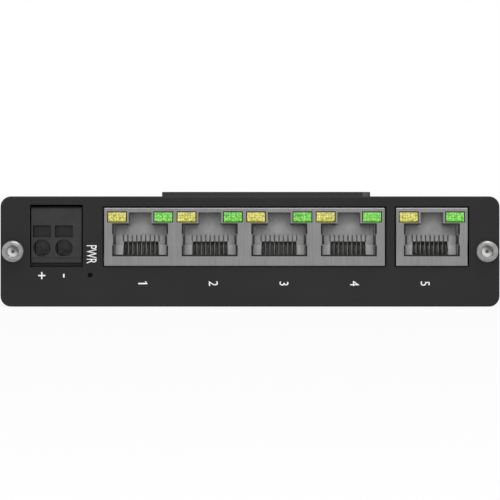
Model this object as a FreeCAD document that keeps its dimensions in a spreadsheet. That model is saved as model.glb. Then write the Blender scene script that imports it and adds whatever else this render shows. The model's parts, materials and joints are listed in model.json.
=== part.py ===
import FreeCAD, Part
import Sketcher
import math
import os
import re

# DIN rail ethernet switch: five shielded jacks and a pluggable power terminal in an extruded
# housing, with a folded bracket and a sprung latch for 35 mm rail on its back.
#
# Lengths are millimetres. X runs along the panels, Y is the depth and Z the thickness. Every piece is
# drawn from the front panel's face, so its local Y is the depth behind that face.

os.makedirs("parts", exist_ok=True)
doc = FreeCAD.newDocument("ethernet_switch")

DIMENSIONS = {
    # housing
    "case_width": 113.1,
    "case_thickness": 25.0,
    "corner_radius": 2.4,
    "panel_bevel": 0.25,
    "panel_thickness": 2.0,
    "shell_length": 65.0,
    "shell_wall": 1.5,
    "side_groove_pitch": 3.6,
    "side_groove_width": 1.4,
    "side_groove_depth": 0.6,
    "screw_spacing": 107.4,
    "screw_port_radius": 2.9,
    "screw_core_radius": 1.25,
    "screw_clearance_radius": 1.6,
    "screw_head_radius": 2.5,
    "screw_head_height": 1.9,
    "screw_head_top_radius": 1.6,
    "screw_radius": 1.2,
    "screw_length": 8.0,
    "screw_socket_width": 2.2,
    "screw_socket_depth": 1.1,
    # main board
    "board_width": 109.2,
    "board_front": 2.3,
    "board_length": 63.0,
    "board_bottom": 7.7,
    "board_thickness": 1.6,
    "board_notch": 7.0,
    "rail_rib_height": 1.4,
    "rail_rib_depth": 1.5,
    # jacks
    "port_pitch": 15.76,
    "bank_centre": -1.25,
    "bank_width": 63.7,
    "single_centre": 41.2,
    "single_width": 16.3,
    "jack_height": 13.1,
    "jack_proud": 0.4,
    "jack_depth": 22.0,
    "sheet": 0.3,
    "sheet_bend": 0.25,
    "panel_gap": 0.3,
    "mouth_width": 12.7,
    "mouth_low": 2.1,
    "mouth_high": 9.6,
    "mouth_recess": 0.4,
    "cavity_width": 11.9,
    "cavity_low": 2.45,
    "cavity_high": 9.3,
    "cavity_depth": 11.3,
    "keyway_width": 5.2,
    "keyway_high": 12.1,
    "carrier_play": 0.05,
    "carrier_step": 1.6,
    "lip_depth": 1.7,
    "throat_depth": 4.5,
    "light_near": 3.2,
    "light_far": 7.3,
    "light_low": 10.0,
    "light_high": 12.1,
    "light_length": 7.0,
    "lens_inset": 0.2,
    "light_play": 0.2,
    "lead_width": 0.45,
    "lead_spacing": 2.54,
    "lead_gap": 0.6,
    "body_back_gap": 1.4,
    "contact_pitch": 1.02,
    "contact_width": 0.34,
    "contact_thickness": 0.28,
    "contact_slot": 0.84,
    "comb_slot_depth": 3.0,
    "contact_tail": 19.6,
    "contact_run_height": 0.9,
    "contact_foot": 1.2,
    "contact_bend": 2.5,
    "contact_tip": 10.6,
    "contact_tip_height": 4.55,
    "comb_slot": 0.34,
    "comb_low": 5.5,
    "comb_high": 6.9,
    "spring_low": 4.8,
    "spring_high": 6.9,
    "spring_bulge": 0.8,
    "spring_crest": 1.7,
    "spring_end": 4.6,
    "spring_thickness": 0.2,
    "spring_notch": 0.3,
    "peg_front": 8.0,
    "peg_back": 17.0,
    "peg_width": 1.6,
    "slot_play": 0.15,
    "peg_length": 2.7,
    # power terminal
    "pole_spacing": 5.0,
    "pole_centre": -44.68,
    "plug_left": -49.55,
    "plug_right": -38.18,
    "plug_low": 9.95,
    "plug_high": 22.55,
    "plug_front": 0.5,
    "plug_face_length": 5.5,
    "plug_length": 18.0,
    "plug_step": 0.6,
    "plug_side_step": 0.3,
    "plug_bevel": 1.2,
    "plug_edge_radius": 0.6,
    "entry_radius": 1.98,
    "entry_height": 13.3,
    "entry_length": 2.6,
    "chamber_wall": 1.2,
    "chamber_width": 3.4,
    "chamber_drop": 2.0,
    "chamber_rise": 1.0,
    "clamp_width": 3.2,
    "clamp_sheet": 0.4,
    "clamp_play": 0.3,
    "clamp_reach": 1.6,
    "socket_width": 2.4,
    "socket_length": 7.2,
    "grip_length": 2.0,
    "pin_play": 0.2,
    "header_end_play": 0.1,
    "release_width": 4.0,
    "release_low": 15.7,
    "release_high": 18.4,
    "lever_recess": 2.2,
    "lever_play": 0.1,
    "lever_lug": 1.0,
    "header_wall": 0.8,
    "header_length": 14.5,
    "header_top": 22.8,
    "pin_width": 1.0,
    "pin_height": 16.3,
    "pin_stand_off": 2.2,
    "pin_entry": 2.2,
    "pin_tail": 1.0,
    "terminal_cut_left": -49.85,
    "terminal_cut_right": -37.86,
    "terminal_cut_low": 9.0,
    "terminal_cut_high": 23.1,
    "power_light_x": -36.23,
    "power_light_height": 7.15,
    "power_light_radius": 0.55,
    # rail bracket and latch
    "bracket_centre": 3.7,
    "bracket_width": 47.9,
    "bracket_sheet": 1.2,
    "bracket_front": 16.0,
    "bracket_bottom": 3.0,
    "bracket_corner": 1.5,
    "bracket_bend": 1.8,
    "latch_arm_left": -38.0,
    "latch_arm_low": 3.0,
    "latch_arm_high": 22.0,
    "rail_width": 35.0,
    "rail_play": 0.2,
    "rail_lip_gap": 1.5,
    "hook_width": 5.5,
    "hook_reach": 3.0,
    "hook_low": 4.5,
    "hook_spacing": 10.5,
    "hook_bevel": 0.8,
    "hook_tip": 0.6,
    "latch_gap": 0.1,
    "latch_thickness": 2.4,
    "latch_low": 4.5,
    "latch_width": 16.0,
    "latch_tab_end": -46.0,
    "latch_nose_reach": 2.2,
    "latch_nose_height": 2.6,
    "latch_nose_edge": 0.6,
    "latch_nose_flat": 1.2,
    "latch_shoulder": 1.0,
    "latch_corner": 1.5,
    "pull_slot_edge": 1.2,
    "pull_slot_width": 2.4,
    "pull_slot_length": 6.0,
    "latch_travel": 4.0,
    "rivet_height": 16.0,
    "rivet_right": -24.5,
    "rivet_spacing": 10.5,
    "rivet_radius": 1.3,
    "rivet_head_radius": 2.8,
    "rivet_head_height": 0.9,
    "rivet_play": 0.15,
    "slide_slot_width": 3.2,
    "spring_height": 8.5,
    "spring_left": -34.0,
    "spring_length": 12.0,
    "spring_radius": 1.35,
    "spring_wire": 0.45,
    "spring_turns": 7,
    "spring_offset": 1.0,
    "spring_window": 3.8,
    "spring_end_play": 0.1,
    "tongue_width": 3.0,
    "tongue_sheet": 0.8,
    "tongue_play": 1.1,
    # parts on the board
    "part_bevel": 0.2,
    "lead_thickness": 0.5,
    "chip_x": 2.0,
    "chip_depth": 48.0,
    "chip_size": 12.0,
    "chip_height": 1.4,
    "chip_lead_pitch": 1.6,
    "chip_lead_width": 0.5,
    "chip_lead_reach": 1.2,
    "transformer_left": -17.0,
    "transformer_middle": 14.5,
    "transformer_width": 15.0,
    "transformer_front": 25.0,
    "transformer_length": 8.5,
    "transformer_height": 6.0,
    "transformer_lead_pitch": 2.54,
    "crystal_x": 20.0,
    "crystal_length": 6.2,
    "crystal_depth": 48.0,
    "crystal_width": 4.7,
    "crystal_height": 3.4,
    "inductor_x": -28.0,
    "inductor_depth": 43.5,
    "inductor_size": 7.0,
    "inductor_height": 3.6,
    "inductor_corner": 1.2,
    "capacitor_x": -45.5,
    "capacitor_depth": 34.0,
    "capacitor_spacing": 12.0,
    "capacitor_radius": 4.0,
    "capacitor_height": 10.2,
    "capacitor_base": 0.9,
    "capacitor_base_size": 8.4,
    "fuse_x": -33.5,
    "fuse_depth": 30.0,
    "fuse_length": 6.1,
    "fuse_width": 2.6,
    "fuse_height": 2.6,
    "suppressor_x": -38.0,
    "suppressor_depth": 54.0,
    "suppressor_length": 4.6,
    "suppressor_width": 3.8,
    "suppressor_height": 2.3,
    "terminal_reach": 0.6,
    "terminal_share": 0.6,
    "light_chip_length": 1.4,
    "light_chip_width": 1.6,
    "light_chip_height": 1.1,
    "light_rod_front": 1.6,
    "light_rod_length": 3.0,
    # fasteners
    "bracket_screw_spacing": 13.4,
    "bracket_screw_height": 12.5,
    "bracket_screw_radius": 1.4,
    "bracket_screw_head_radius": 2.6,
    "bracket_screw_head_top_radius": 1.6,
    "bracket_screw_head_height": 1.3,
    "bracket_screw_socket_width": 2.0,
    "bracket_screw_socket_depth": 0.8,
    "bracket_screw_length": 3.6,
    "hole_play": 0.05,
    "earth_x": 41.0,
    "earth_radius": 1.9,
    "earth_head_radius": 3.8,
    "earth_head_height": 2.4,
    "earth_screw_length": 6.0,
    "earth_slot_depth": 1.1,
    "earth_slot_width": 1.0,
    "washer_thickness": 0.8,
    "washer_overhang": 0.7,
}

dim = doc.addObject("Spreadsheet::Sheet", "dim")
dim.Label = "dimensions"
for row, (name, size) in enumerate(DIMENSIONS.items(), start=1):
    dim.set(f"A{row}", name)
    dim.set(f"B{row}", str(size))
    dim.setAlias(f"B{row}", name)
doc.recompute()

# Sizes that follow from the driving ones, as formulas in the sheet's names.
BOARD_TOP = "(board_bottom + board_thickness)"
REAR_FACE = "(2 * panel_thickness + shell_length)"
BRACKET_BACK = f"({REAR_FACE} + bracket_sheet)"
LATCH_FRONT = f"({BRACKET_BACK} + latch_gap)"
LATCH_BACK = f"({LATCH_FRONT} + latch_thickness)"
NOSE_BACK = f"({BRACKET_BACK} + rail_lip_gap + latch_nose_height)"
MIDDLE_DEPTH = f"(({NOSE_BACK} - screw_head_height) / 2)"
MID_HEIGHT = "(case_thickness / 2)"
RAIL_LEFT = "(bracket_centre - rail_width / 2 - rail_play)"
RAIL_RIGHT = "(bracket_centre + rail_width / 2 + rail_play)"
POLES = ("(pole_centre - pole_spacing / 2)", "(pole_centre + pole_spacing / 2)")


def formula(text):
    """Writes a formula in the sheet's names as a FreeCAD expression."""
    def cell(match):
        word = match.group()
        return f"dim.{word}" if word in DIMENSIONS else word
    return re.sub(r"[A-Za-z]\w+", cell, str(text))


def number(text):
    """The present value of a formula."""
    return float(dim.evalExpression(formula(text)))


# Outlines: each returns a function that draws itself, fully constrained, into a sketch.

def polygon(*corners):
    def draw(sketch):
        first = sketch.GeometryCount
        points = [FreeCAD.Vector(number(x), number(y), 0) for x, y in corners]
        for start, end in zip(points, points[1:] + points[:1]):
            sketch.addGeometry(Part.LineSegment(start, end), False)
        for index, (x, y) in enumerate(corners):
            following = first + (index + 1) % len(corners)
            sketch.addConstraint(Sketcher.Constraint("Coincident", first + index, 2, following, 1))
            pin_point(sketch, first + index, 1, x, y)
    return draw


def rectangle(left, low, right, high):
    return polygon((left, low), (right, low), (right, high), (left, high))


def circle(x, y, radius):
    def draw(sketch):
        centre = FreeCAD.Vector(number(x), number(y), 0)
        index = sketch.addGeometry(Part.Circle(centre, FreeCAD.Vector(0, 0, 1), number(radius)), False)
        pin_point(sketch, index, 3, x, y)
        bind_constraint(sketch, Sketcher.Constraint("Radius", index, number(radius)), radius)
    return draw


def long_hole(left, right, y, width):
    """A slot with round ends, from left to right between its end centres."""
    def draw(sketch):
        radius = number(width) / 2
        height = number(y)
        ends = [FreeCAD.Vector(number(left), height, 0), FreeCAD.Vector(number(right), height, 0)]
        up = FreeCAD.Vector(0, radius, 0)
        normal = FreeCAD.Vector(0, 0, 1)
        low_line = sketch.addGeometry(Part.LineSegment(ends[0] - up, ends[1] - up), False)
        right_arc = sketch.addGeometry(
            Part.ArcOfCircle(Part.Circle(ends[1], normal, radius), -math.pi / 2, math.pi / 2), False)
        high_line = sketch.addGeometry(Part.LineSegment(ends[1] + up, ends[0] + up), False)
        left_arc = sketch.addGeometry(
            Part.ArcOfCircle(Part.Circle(ends[0], normal, radius), math.pi / 2, 3 * math.pi / 2), False)
        sketch.addConstraint(Sketcher.Constraint("Tangent", low_line, 2, right_arc, 1))
        sketch.addConstraint(Sketcher.Constraint("Tangent", right_arc, 2, high_line, 1))
        sketch.addConstraint(Sketcher.Constraint("Tangent", high_line, 2, left_arc, 1))
        sketch.addConstraint(Sketcher.Constraint("Tangent", left_arc, 2, low_line, 1))
        pin_point(sketch, left_arc, 3, left, y)
        bind_constraint(sketch, Sketcher.Constraint("DistanceX", -1, 1, right_arc, 3, number(right)), right)
        bind_constraint(sketch, Sketcher.Constraint("Radius", right_arc, radius), f"({width}) / 2")
    return draw


def path(*corners):
    """An open line of straight runs."""
    def draw(sketch):
        points = [FreeCAD.Vector(number(x), number(y), 0) for x, y in corners]
        for index, (start, end) in enumerate(zip(points, points[1:])):
            sketch.addGeometry(Part.LineSegment(start, end), False)
            if index:
                sketch.addConstraint(Sketcher.Constraint("Coincident", index - 1, 2, index, 1))
            pin_point(sketch, index, 1, *corners[index])
        pin_point(sketch, len(points) - 2, 2, *corners[-1])
    return draw


def pin_point(sketch, geometry, point, x, y):
    bind_constraint(sketch, Sketcher.Constraint("DistanceX", -1, 1, geometry, point, number(x)), x)
    bind_constraint(sketch, Sketcher.Constraint("DistanceY", -1, 1, geometry, point, number(y)), y)


def bind_constraint(sketch, constraint, text):
    index = sketch.addConstraint(constraint)
    sketch.setExpression(f"Constraints[{index}]", formula(text))


class Piece:
    """One piece of the switch: a body and the features that shape it."""

    # A sketch on XZ faces the front, so its own normal points along -Y.
    NORMAL = {"XY": 1, "XZ": -1, "YZ": 1}
    made = []

    def __init__(self, label, x="0", z="0"):
        self.body = doc.addObject("PartDesign::Body", label)
        self.body.Label = label
        self.body.AllowCompound = True
        self.body.setExpression("Placement.Base.x", formula(x))
        self.body.setExpression("Placement.Base.y", formula(f"-{MIDDLE_DEPTH}"))
        self.body.setExpression("Placement.Base.z", formula(z))
        Piece.made.append(self.body)

    def origin(self, role):
        return next(item for item in self.body.Origin.OriginFeatures if item.Role == role)

    def sketch(self, plane, offset, outlines):
        sketch = self.body.newObject("Sketcher::SketchObject", "sketch")
        sketch.AttachmentSupport = [(self.origin(f"{plane}_Plane"), "")]
        sketch.MapMode = "FlatFace"
        sketch.setExpression(".AttachmentOffset.Base.z", formula(f"{self.NORMAL[plane]} * ({offset})"))
        for draw in outlines:
            draw(sketch)
        return sketch

    def feature(self, kind, sketch, length=None):
        feature = self.body.newObject(f"PartDesign::{kind}", kind.lower())
        feature.Profile = sketch
        if length:
            feature.setExpression("Length", formula(length))
        return feature

    def pad(self, plane, low, high, *outlines):
        """Adds the outlines' material between two depths along the plane's own global axis."""
        start = low if self.NORMAL[plane] > 0 else high
        pad = self.feature("Pad", self.sketch(plane, start, outlines), f"({high}) - ({low})")
        doc.recompute()
        return pad

    def cut(self, plane, low, high, *outlines):
        """Takes the outlines' material away between two depths, and checks that it took some."""
        before = self.body.Shape.Volume
        start = high if self.NORMAL[plane] > 0 else low
        pocket = self.feature("Pocket", self.sketch(plane, start, outlines), f"({high}) - ({low})")
        doc.recompute()
        if self.body.Shape.Volume >= before:
            raise RuntimeError(f"a cut misses {self.body.Label}")
        return pocket

    def revolve(self, plane, axis, *outlines):
        turned = self.feature("Revolution", self.sketch(plane, "0", outlines))
        turned.ReferenceAxis = (turned.Profile[0], [axis])
        turned.Angle = 360
        doc.recompute()
        return turned

    def sweep(self, plane, offset, route, section_plane, section_offset, *outlines):
        spine = self.sketch(plane, offset, [route])
        pipe = self.feature("AdditivePipe", self.sketch(section_plane, section_offset, outlines))
        pipe.Spine = (spine, [])
        pipe.Transition = "Right corner"
        doc.recompute()
        return pipe

    def repeat(self, features, axis, pitch, count):
        """Repeats features in a row along one of the body's axes."""
        row = self.body.newObject("PartDesign::LinearPattern", "row")
        row.Originals = features
        row.Direction = (self.origin(f"{axis}_Axis"), [""])
        row.setExpression("Length", formula(f"({pitch}) * {count - 1}"))
        row.Occurrences = count
        self.body.Tip = row
        doc.recompute()
        return row

    def mirror(self, features, plane):
        mirrored = self.body.newObject("PartDesign::Mirrored", "mirror")
        mirrored.Originals = features
        mirrored.MirrorPlane = (self.origin(f"{plane}_Plane"), [""])
        self.body.Tip = mirrored
        doc.recompute()
        return mirrored

    def dress(self, kind, size_name, size, chosen):
        """Fillets or chamfers the edges that chosen(edge) picks."""
        base = self.body.Tip
        names = [f"Edge{i}" for i, edge in enumerate(base.Shape.Edges, start=1) if chosen(edge)]
        if not names:
            raise RuntimeError(f"no edge to dress on {self.body.Label}")
        dressing = self.body.newObject(f"PartDesign::{kind}", kind.lower())
        dressing.Base = (base, names)
        dressing.setExpression(size_name, formula(size))
        doc.recompute()
        return dressing

    def fillet(self, radius, chosen):
        return self.dress("Fillet", "Radius", radius, chosen)

    def chamfer(self, size, chosen):
        return self.dress("Chamfer", "Size", size, chosen)


TOUCH = 0.01


def runs_along(axis):
    """Picks the straight edges parallel to an axis."""
    direction = FreeCAD.Vector(*(float(axis == name) for name in "XYZ"))

    def chosen(edge):
        if not isinstance(edge.Curve, Part.Line):
            return False
        return edge.tangentAt(edge.FirstParameter).cross(direction).Length < TOUCH
    return chosen


def in_plane(axis, place):
    """Picks the edges that lie in a plane across an axis."""
    level = number(place)

    def chosen(edge):
        box = edge.BoundBox
        return max(abs(getattr(box, axis + end) - level) for end in ("Min", "Max")) < TOUCH
    return chosen


def lies_at(axis, **places):
    """Picks the edges along an axis whose middle lies at the given places."""
    parallel = runs_along(axis)

    def chosen(edge):
        if not parallel(edge):
            return False
        middle = edge.CenterOfMass
        return all(abs(getattr(middle, key) - number(place)) < TOUCH for key, place in places.items())
    return chosen


# ---------------------------------------------------------------- housing

def housing_shell():
    """Extruded tube: card rails in both sides, screw ports at mid height, grooved ends."""
    shell = Piece("housing_shell")
    front = "panel_thickness"
    back = f"{REAR_FACE} - panel_thickness"
    shell.pad("XZ", front, back, case_outline())
    shell.fillet("corner_radius", runs_along("Y"))
    inner = "(case_width / 2 - shell_wall)"
    shell.cut("XZ", front, back, rectangle(f"-{inner}", "shell_wall", inner, "case_thickness - shell_wall"))
    rib = shell.pad("XZ", front, back, rectangle(
        f"{inner} - rail_rib_depth", "board_bottom - rail_rib_height",
        f"{inner} + shell_wall / 2", "board_bottom"))
    port = shell.pad("XZ", front, back, circle("screw_spacing / 2", MID_HEIGHT, "screw_port_radius"))
    shell.mirror([rib, port], "YZ")
    core = shell.cut("XZ", front, back, circle("screw_spacing / 2", MID_HEIGHT, "screw_core_radius"))
    grooves = []
    for step in range(-2, 3):
        centre = f"({MID_HEIGHT} + {step} * side_groove_pitch)"
        grooves.append(rectangle(
            "case_width / 2 - side_groove_depth", f"{centre} - side_groove_width / 2",
            "case_width / 2 + side_groove_depth", f"{centre} + side_groove_width / 2"))
    grooved = shell.cut("XZ", front, back, *grooves)
    shell.mirror([core, grooved], "YZ")


def case_outline():
    return rectangle("-case_width / 2", "0", "case_width / 2", "case_thickness")


def panel(label, front, back, outer):
    """Flat end plate with the housing's outline, a fine bevel on its outer face and two screw holes."""
    plate = Piece(label)
    plate.pad("XZ", front, back, case_outline())
    plate.fillet("corner_radius", runs_along("Y"))
    plate.chamfer("panel_bevel", in_plane("Y", outer))
    plate.cut("XZ", front, back,
              circle("-screw_spacing / 2", MID_HEIGHT, "screw_clearance_radius"),
              circle("screw_spacing / 2", MID_HEIGHT, "screw_clearance_radius"))
    return plate


def front_panel():
    plate = panel("front_panel", "0", "panel_thickness", "0")
    jack_low = f"({BOARD_TOP} - panel_gap)"
    jack_high = f"({BOARD_TOP} + jack_height + panel_gap)"
    bank = "(bank_width / 2 + panel_gap)"
    single = "(single_width / 2 + panel_gap)"
    plate.cut("XZ", "0", "panel_thickness",
              rectangle("terminal_cut_left", "terminal_cut_low", "terminal_cut_right", "terminal_cut_high"),
              rectangle(f"bank_centre - {bank}", jack_low, f"bank_centre + {bank}", jack_high),
              rectangle(f"single_centre - {single}", jack_low, f"single_centre + {single}", jack_high),
              circle("power_light_x", "power_light_height", "power_light_radius"))


def rear_panel():
    inside = f"({REAR_FACE} - panel_thickness)"
    plate = panel("rear_panel", inside, REAR_FACE, REAR_FACE)
    screw_hole = "bracket_screw_radius + hole_play"
    plate.cut("XZ", inside, REAR_FACE,
              circle("bracket_centre - bracket_screw_spacing / 2", "bracket_screw_height", screw_hole),
              circle("bracket_centre + bracket_screw_spacing / 2", "bracket_screw_height", screw_hole),
              circle("earth_x", MID_HEIGHT, "earth_radius + hole_play"))


def raised_head_screws(label, kind, seat, outward, x, z):
    """A pair of raised-head screws with hexagon sockets; outward is -1 for heads at the front."""
    screws = Piece(label, x=f"({x}) - {kind}_spacing / 2", z=z)

    def depth(distance):
        return f"({seat}) + {outward} * ({distance})"

    head = screws.revolve("YZ", "H_Axis", polygon(
        (depth(f"-{kind}_length"), "0"), (depth(f"{kind}_head_height"), "0"),
        (depth(f"{kind}_head_height"), f"{kind}_head_top_radius"),
        (depth("0"), f"{kind}_head_radius"), (depth("0"), f"{kind}_radius"),
        (depth(f"-{kind}_length"), f"{kind}_radius")))
    half = f"({kind}_socket_width / 2)"
    point = f"({half} / cos(30))"
    floor = depth(f"{kind}_head_height - {kind}_socket_depth")
    ends = sorted((floor, depth(f"{kind}_head_height")), key=number)
    socket = screws.cut("XZ", *ends, polygon(
        (point, "0"), (f"{point} / 2", half), (f"-{point} / 2", half),
        (f"-{point}", "0"), (f"-{point} / 2", f"-{half}"), (f"{point} / 2", f"-{half}")))
    screws.repeat([head, socket], "X", f"{kind}_spacing", 2)


# ---------------------------------------------------------------- main board

def main_board():
    """The board, notched under the power plug, with slots for the shields' pegs and the power pins."""
    board = Piece("main_board")
    board.pad("XY", "board_bottom", BOARD_TOP, rectangle(
        "-board_width / 2", "board_front", "board_width / 2", "board_front + board_length"))
    board.cut("XY", "board_bottom", BOARD_TOP, rectangle(
        "terminal_cut_left", "board_front", "terminal_cut_right", "board_front + board_notch"))
    slots = []
    for centre, width in (("bank_centre", "bank_width"), ("single_centre", "single_width")):
        for side in (-1, 1):
            wall = f"({centre} + {side} * ({width} - sheet) / 2)"
            for depth in PEG_DEPTHS:
                slots.append(centred(wall, depth, "sheet + 2 * slot_play", "peg_width + 2 * slot_play"))
    for pole in POLES:
        slots.append(centred(pole, f"({PIN_BACK} - pin_width / 2)",
                             "pin_width + 2 * slot_play", "pin_width + 2 * slot_play"))
    board.cut("XY", "board_bottom", BOARD_TOP, *slots)


PEG_DEPTHS = ("peg_front", "peg_back")
PIN_BACK = "(plug_front + plug_face_length + header_length + pin_stand_off)"


def centred(x, y, width, length):
    """A rectangle about its centre."""
    return rectangle(f"{x} - ({width}) / 2", f"{y} - ({length}) / 2",
                     f"{x} + ({width}) / 2", f"{y} + ({length}) / 2")


def board_block(label, x, depth, width, length, height):
    """Moulded component on the board, with its top edges bevelled."""
    block = Piece(label)
    block.pad("XY", BOARD_TOP, f"{BOARD_TOP} + {height}", centred(x, depth, width, length))
    block.chamfer("part_bevel", in_plane("Z", f"{BOARD_TOP} + {height}"))
    return block


def switch_chip():
    """Square package with a row of gull-wing leads on each side."""
    chip = board_block("switch_chip", "chip_x", "chip_depth", "chip_size", "chip_size", "chip_height")
    per_side = 7
    first = f"({(per_side - 1) / 2} * chip_lead_pitch)"
    middle_of_lead = "(chip_size / 2 + chip_lead_reach / 2)"
    lead_top = f"{BOARD_TOP} + lead_thickness"
    x, y = f"(chip_x - {first})", f"(chip_depth - {first})"
    leads = chip.pad("XY", BOARD_TOP, lead_top,
                     centred(x, f"(chip_depth + {middle_of_lead})", "chip_lead_width", "chip_lead_reach"),
                     centred(x, f"(chip_depth - {middle_of_lead})", "chip_lead_width", "chip_lead_reach"))
    chip.repeat([leads], "X", "chip_lead_pitch", per_side)
    side_leads = chip.pad("XY", BOARD_TOP, lead_top,
                          centred(f"(chip_x + {middle_of_lead})", y, "chip_lead_reach", "chip_lead_width"),
                          centred(f"(chip_x - {middle_of_lead})", y, "chip_lead_reach", "chip_lead_width"))
    chip.repeat([side_leads], "Y", "chip_lead_pitch", per_side)


def line_transformers():
    """Three moulded transformer packages behind the jacks, each with two rows of leads."""
    packages = Piece("line_transformers")
    per_row = 4
    middle = "(transformer_front + transformer_length / 2)"
    middle_of_lead = "(transformer_length / 2 + chip_lead_reach / 2)"
    for x in ("transformer_left", "transformer_middle", "single_centre"):
        packages.pad("XY", f"{BOARD_TOP} + lead_thickness / 2", f"{BOARD_TOP} + transformer_height",
                     centred(x, middle, "transformer_width", "transformer_length"))
        first = f"({x} - {(per_row - 1) / 2} * transformer_lead_pitch)"
        leads = packages.pad(
            "XY", BOARD_TOP, f"{BOARD_TOP} + lead_thickness",
            centred(first, f"({middle} + {middle_of_lead})", "chip_lead_width", "chip_lead_reach"),
            centred(first, f"({middle} - {middle_of_lead})", "chip_lead_width", "chip_lead_reach"))
        packages.repeat([leads], "X", "transformer_lead_pitch", per_row)


def power_parts():
    """The clock crystal, and the coil, capacitors, fuse and surge suppressor of the supply."""
    board_block("clock_crystal", "crystal_x", "crystal_depth",
                "crystal_length", "crystal_width", "crystal_height")

    inductor = Piece("power_inductor")
    inductor.pad("XY", BOARD_TOP, f"{BOARD_TOP} + inductor_height",
                 centred("inductor_x", "inductor_depth", "inductor_size", "inductor_size"))
    inductor.chamfer("inductor_corner", runs_along("Z"))

    capacitors = Piece("filter_capacitors")
    can_foot = f"({BOARD_TOP} + capacitor_base)"
    base = capacitors.pad("XY", BOARD_TOP, can_foot, centred(
        "capacitor_x", "capacitor_depth", "capacitor_base_size", "capacitor_base_size"))
    can = capacitors.pad("XY", can_foot, f"{BOARD_TOP} + capacitor_height",
                         circle("capacitor_x", "capacitor_depth", "capacitor_radius"))
    capacitors.repeat([base, can], "Y", "capacitor_spacing", 2)

    for label, part in (("input_fuse", "fuse"), ("surge_suppressor", "suppressor")):
        block = board_block(label, f"{part}_x", f"{part}_depth",
                            f"{part}_width", f"{part}_length", f"{part}_height")
        end = f"({part}_length / 2 + terminal_reach / 2)"
        width = f"{part}_width * terminal_share"
        block.pad("XY", BOARD_TOP, f"{BOARD_TOP} + {part}_height / 2",
                  centred(f"{part}_x", f"({part}_depth + {end})", width, "terminal_reach"),
                  centred(f"{part}_x", f"({part}_depth - {end})", width, "terminal_reach"))


# ---------------------------------------------------------------- shielded jacks

JACK_FACE = "(-jack_proud)"
JACK_BACK = "(jack_depth - jack_proud)"
BODY_FACE = f"({JACK_FACE} + sheet)"
BODY_BACK = f"({JACK_BACK} - sheet - body_back_gap)"
CONTACTS = 8
FIRST_CONTACT = f"({(1 - CONTACTS) / 2} * contact_pitch)"


def z_in_jack(height):
    """A height above the board, where the jacks stand."""
    return f"({BOARD_TOP} + {height})"


def keyed_outline(x, half_width, low, shoulder, top):
    """The upright T of a jack's mouth: the plug's opening with its keyway above."""
    half_key = "keyway_width / 2"
    return polygon(
        (f"{x} - {half_width}", low), (f"{x} + {half_width}", low),
        (f"{x} + {half_width}", shoulder), (f"{x} + {half_key}", shoulder),
        (f"{x} + {half_key}", top), (f"{x} - {half_key}", top),
        (f"{x} - {half_key}", shoulder), (f"{x} - {half_width}", shoulder))


def light_windows(x):
    low, high = z_in_jack("light_low - light_play"), z_in_jack("light_high + light_play")
    near, far = "(light_near - light_play)", "(light_far + light_play)"
    return [rectangle(f"{x} + {near}", low, f"{x} + {far}", high),
            rectangle(f"{x} - {far}", low, f"{x} - {near}", high)]


def side_spring(x, side, face):
    """A tongue of the shield's face, folded into the mouth and bulging towards the plug."""
    edge = "mouth_width / 2"
    outer = f"{x} + {side} * ({edge} + carrier_play)"
    inner = f"{x} + {side} * ({edge} - spring_thickness)"
    crest = f"{x} + {side} * ({edge} - spring_bulge)"
    return polygon(
        (outer, face), (outer, f"{face} + sheet"),
        (f"{crest} + {side} * spring_thickness", "spring_crest"), (outer, "spring_end"),
        (f"{outer} - {side} * spring_thickness", "spring_end"), (crest, "spring_crest"), (inner, face))


def jack_shield(label, centre, width, count):
    """Folded sheet can, open below, with the mouths cut in its face and a spring in each mouth's side."""
    shield = Piece(label, x=centre)
    half = f"({width} / 2)"
    shield.pad("XY", BOARD_TOP, z_in_jack("jack_height"), rectangle(f"-{half}", JACK_FACE, half, JACK_BACK))
    open_edge = in_plane("Z", BOARD_TOP)
    face_edge = in_plane("Y", JACK_FACE)
    shield.fillet("sheet_bend", lambda edge: face_edge(edge) and not open_edge(edge))
    shield.cut("XY", BOARD_TOP, z_in_jack("jack_height - sheet"),
               rectangle(f"-{half} + sheet", f"{JACK_FACE} + sheet",
                         f"{half} - sheet", f"{JACK_BACK} - sheet"))
    first = f"({-(count - 1) / 2} * port_pitch)"
    mouth = shield.cut(
        "XZ", JACK_FACE, f"{JACK_FACE} + sheet",
        keyed_outline(first, "mouth_width / 2", z_in_jack("mouth_low"), z_in_jack("mouth_high"),
                      z_in_jack("keyway_high")),
        *light_windows(first))
    spring = shield.pad("XY", z_in_jack("spring_low"), z_in_jack("spring_high"),
                        side_spring(first, -1, JACK_FACE), side_spring(first, 1, JACK_FACE))
    if count > 1:
        shield.repeat([mouth, spring], "X", "port_pitch", count)
    pegs = []
    for side in (-1, 1):
        for depth in PEG_DEPTHS:
            pegs.append(centred(f"({side} * ({half} - sheet / 2))", depth, "sheet", "peg_width"))
    shield.pad("XY", f"{BOARD_TOP} - peg_length", f"{BOARD_TOP} + sheet", *pegs)


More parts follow.
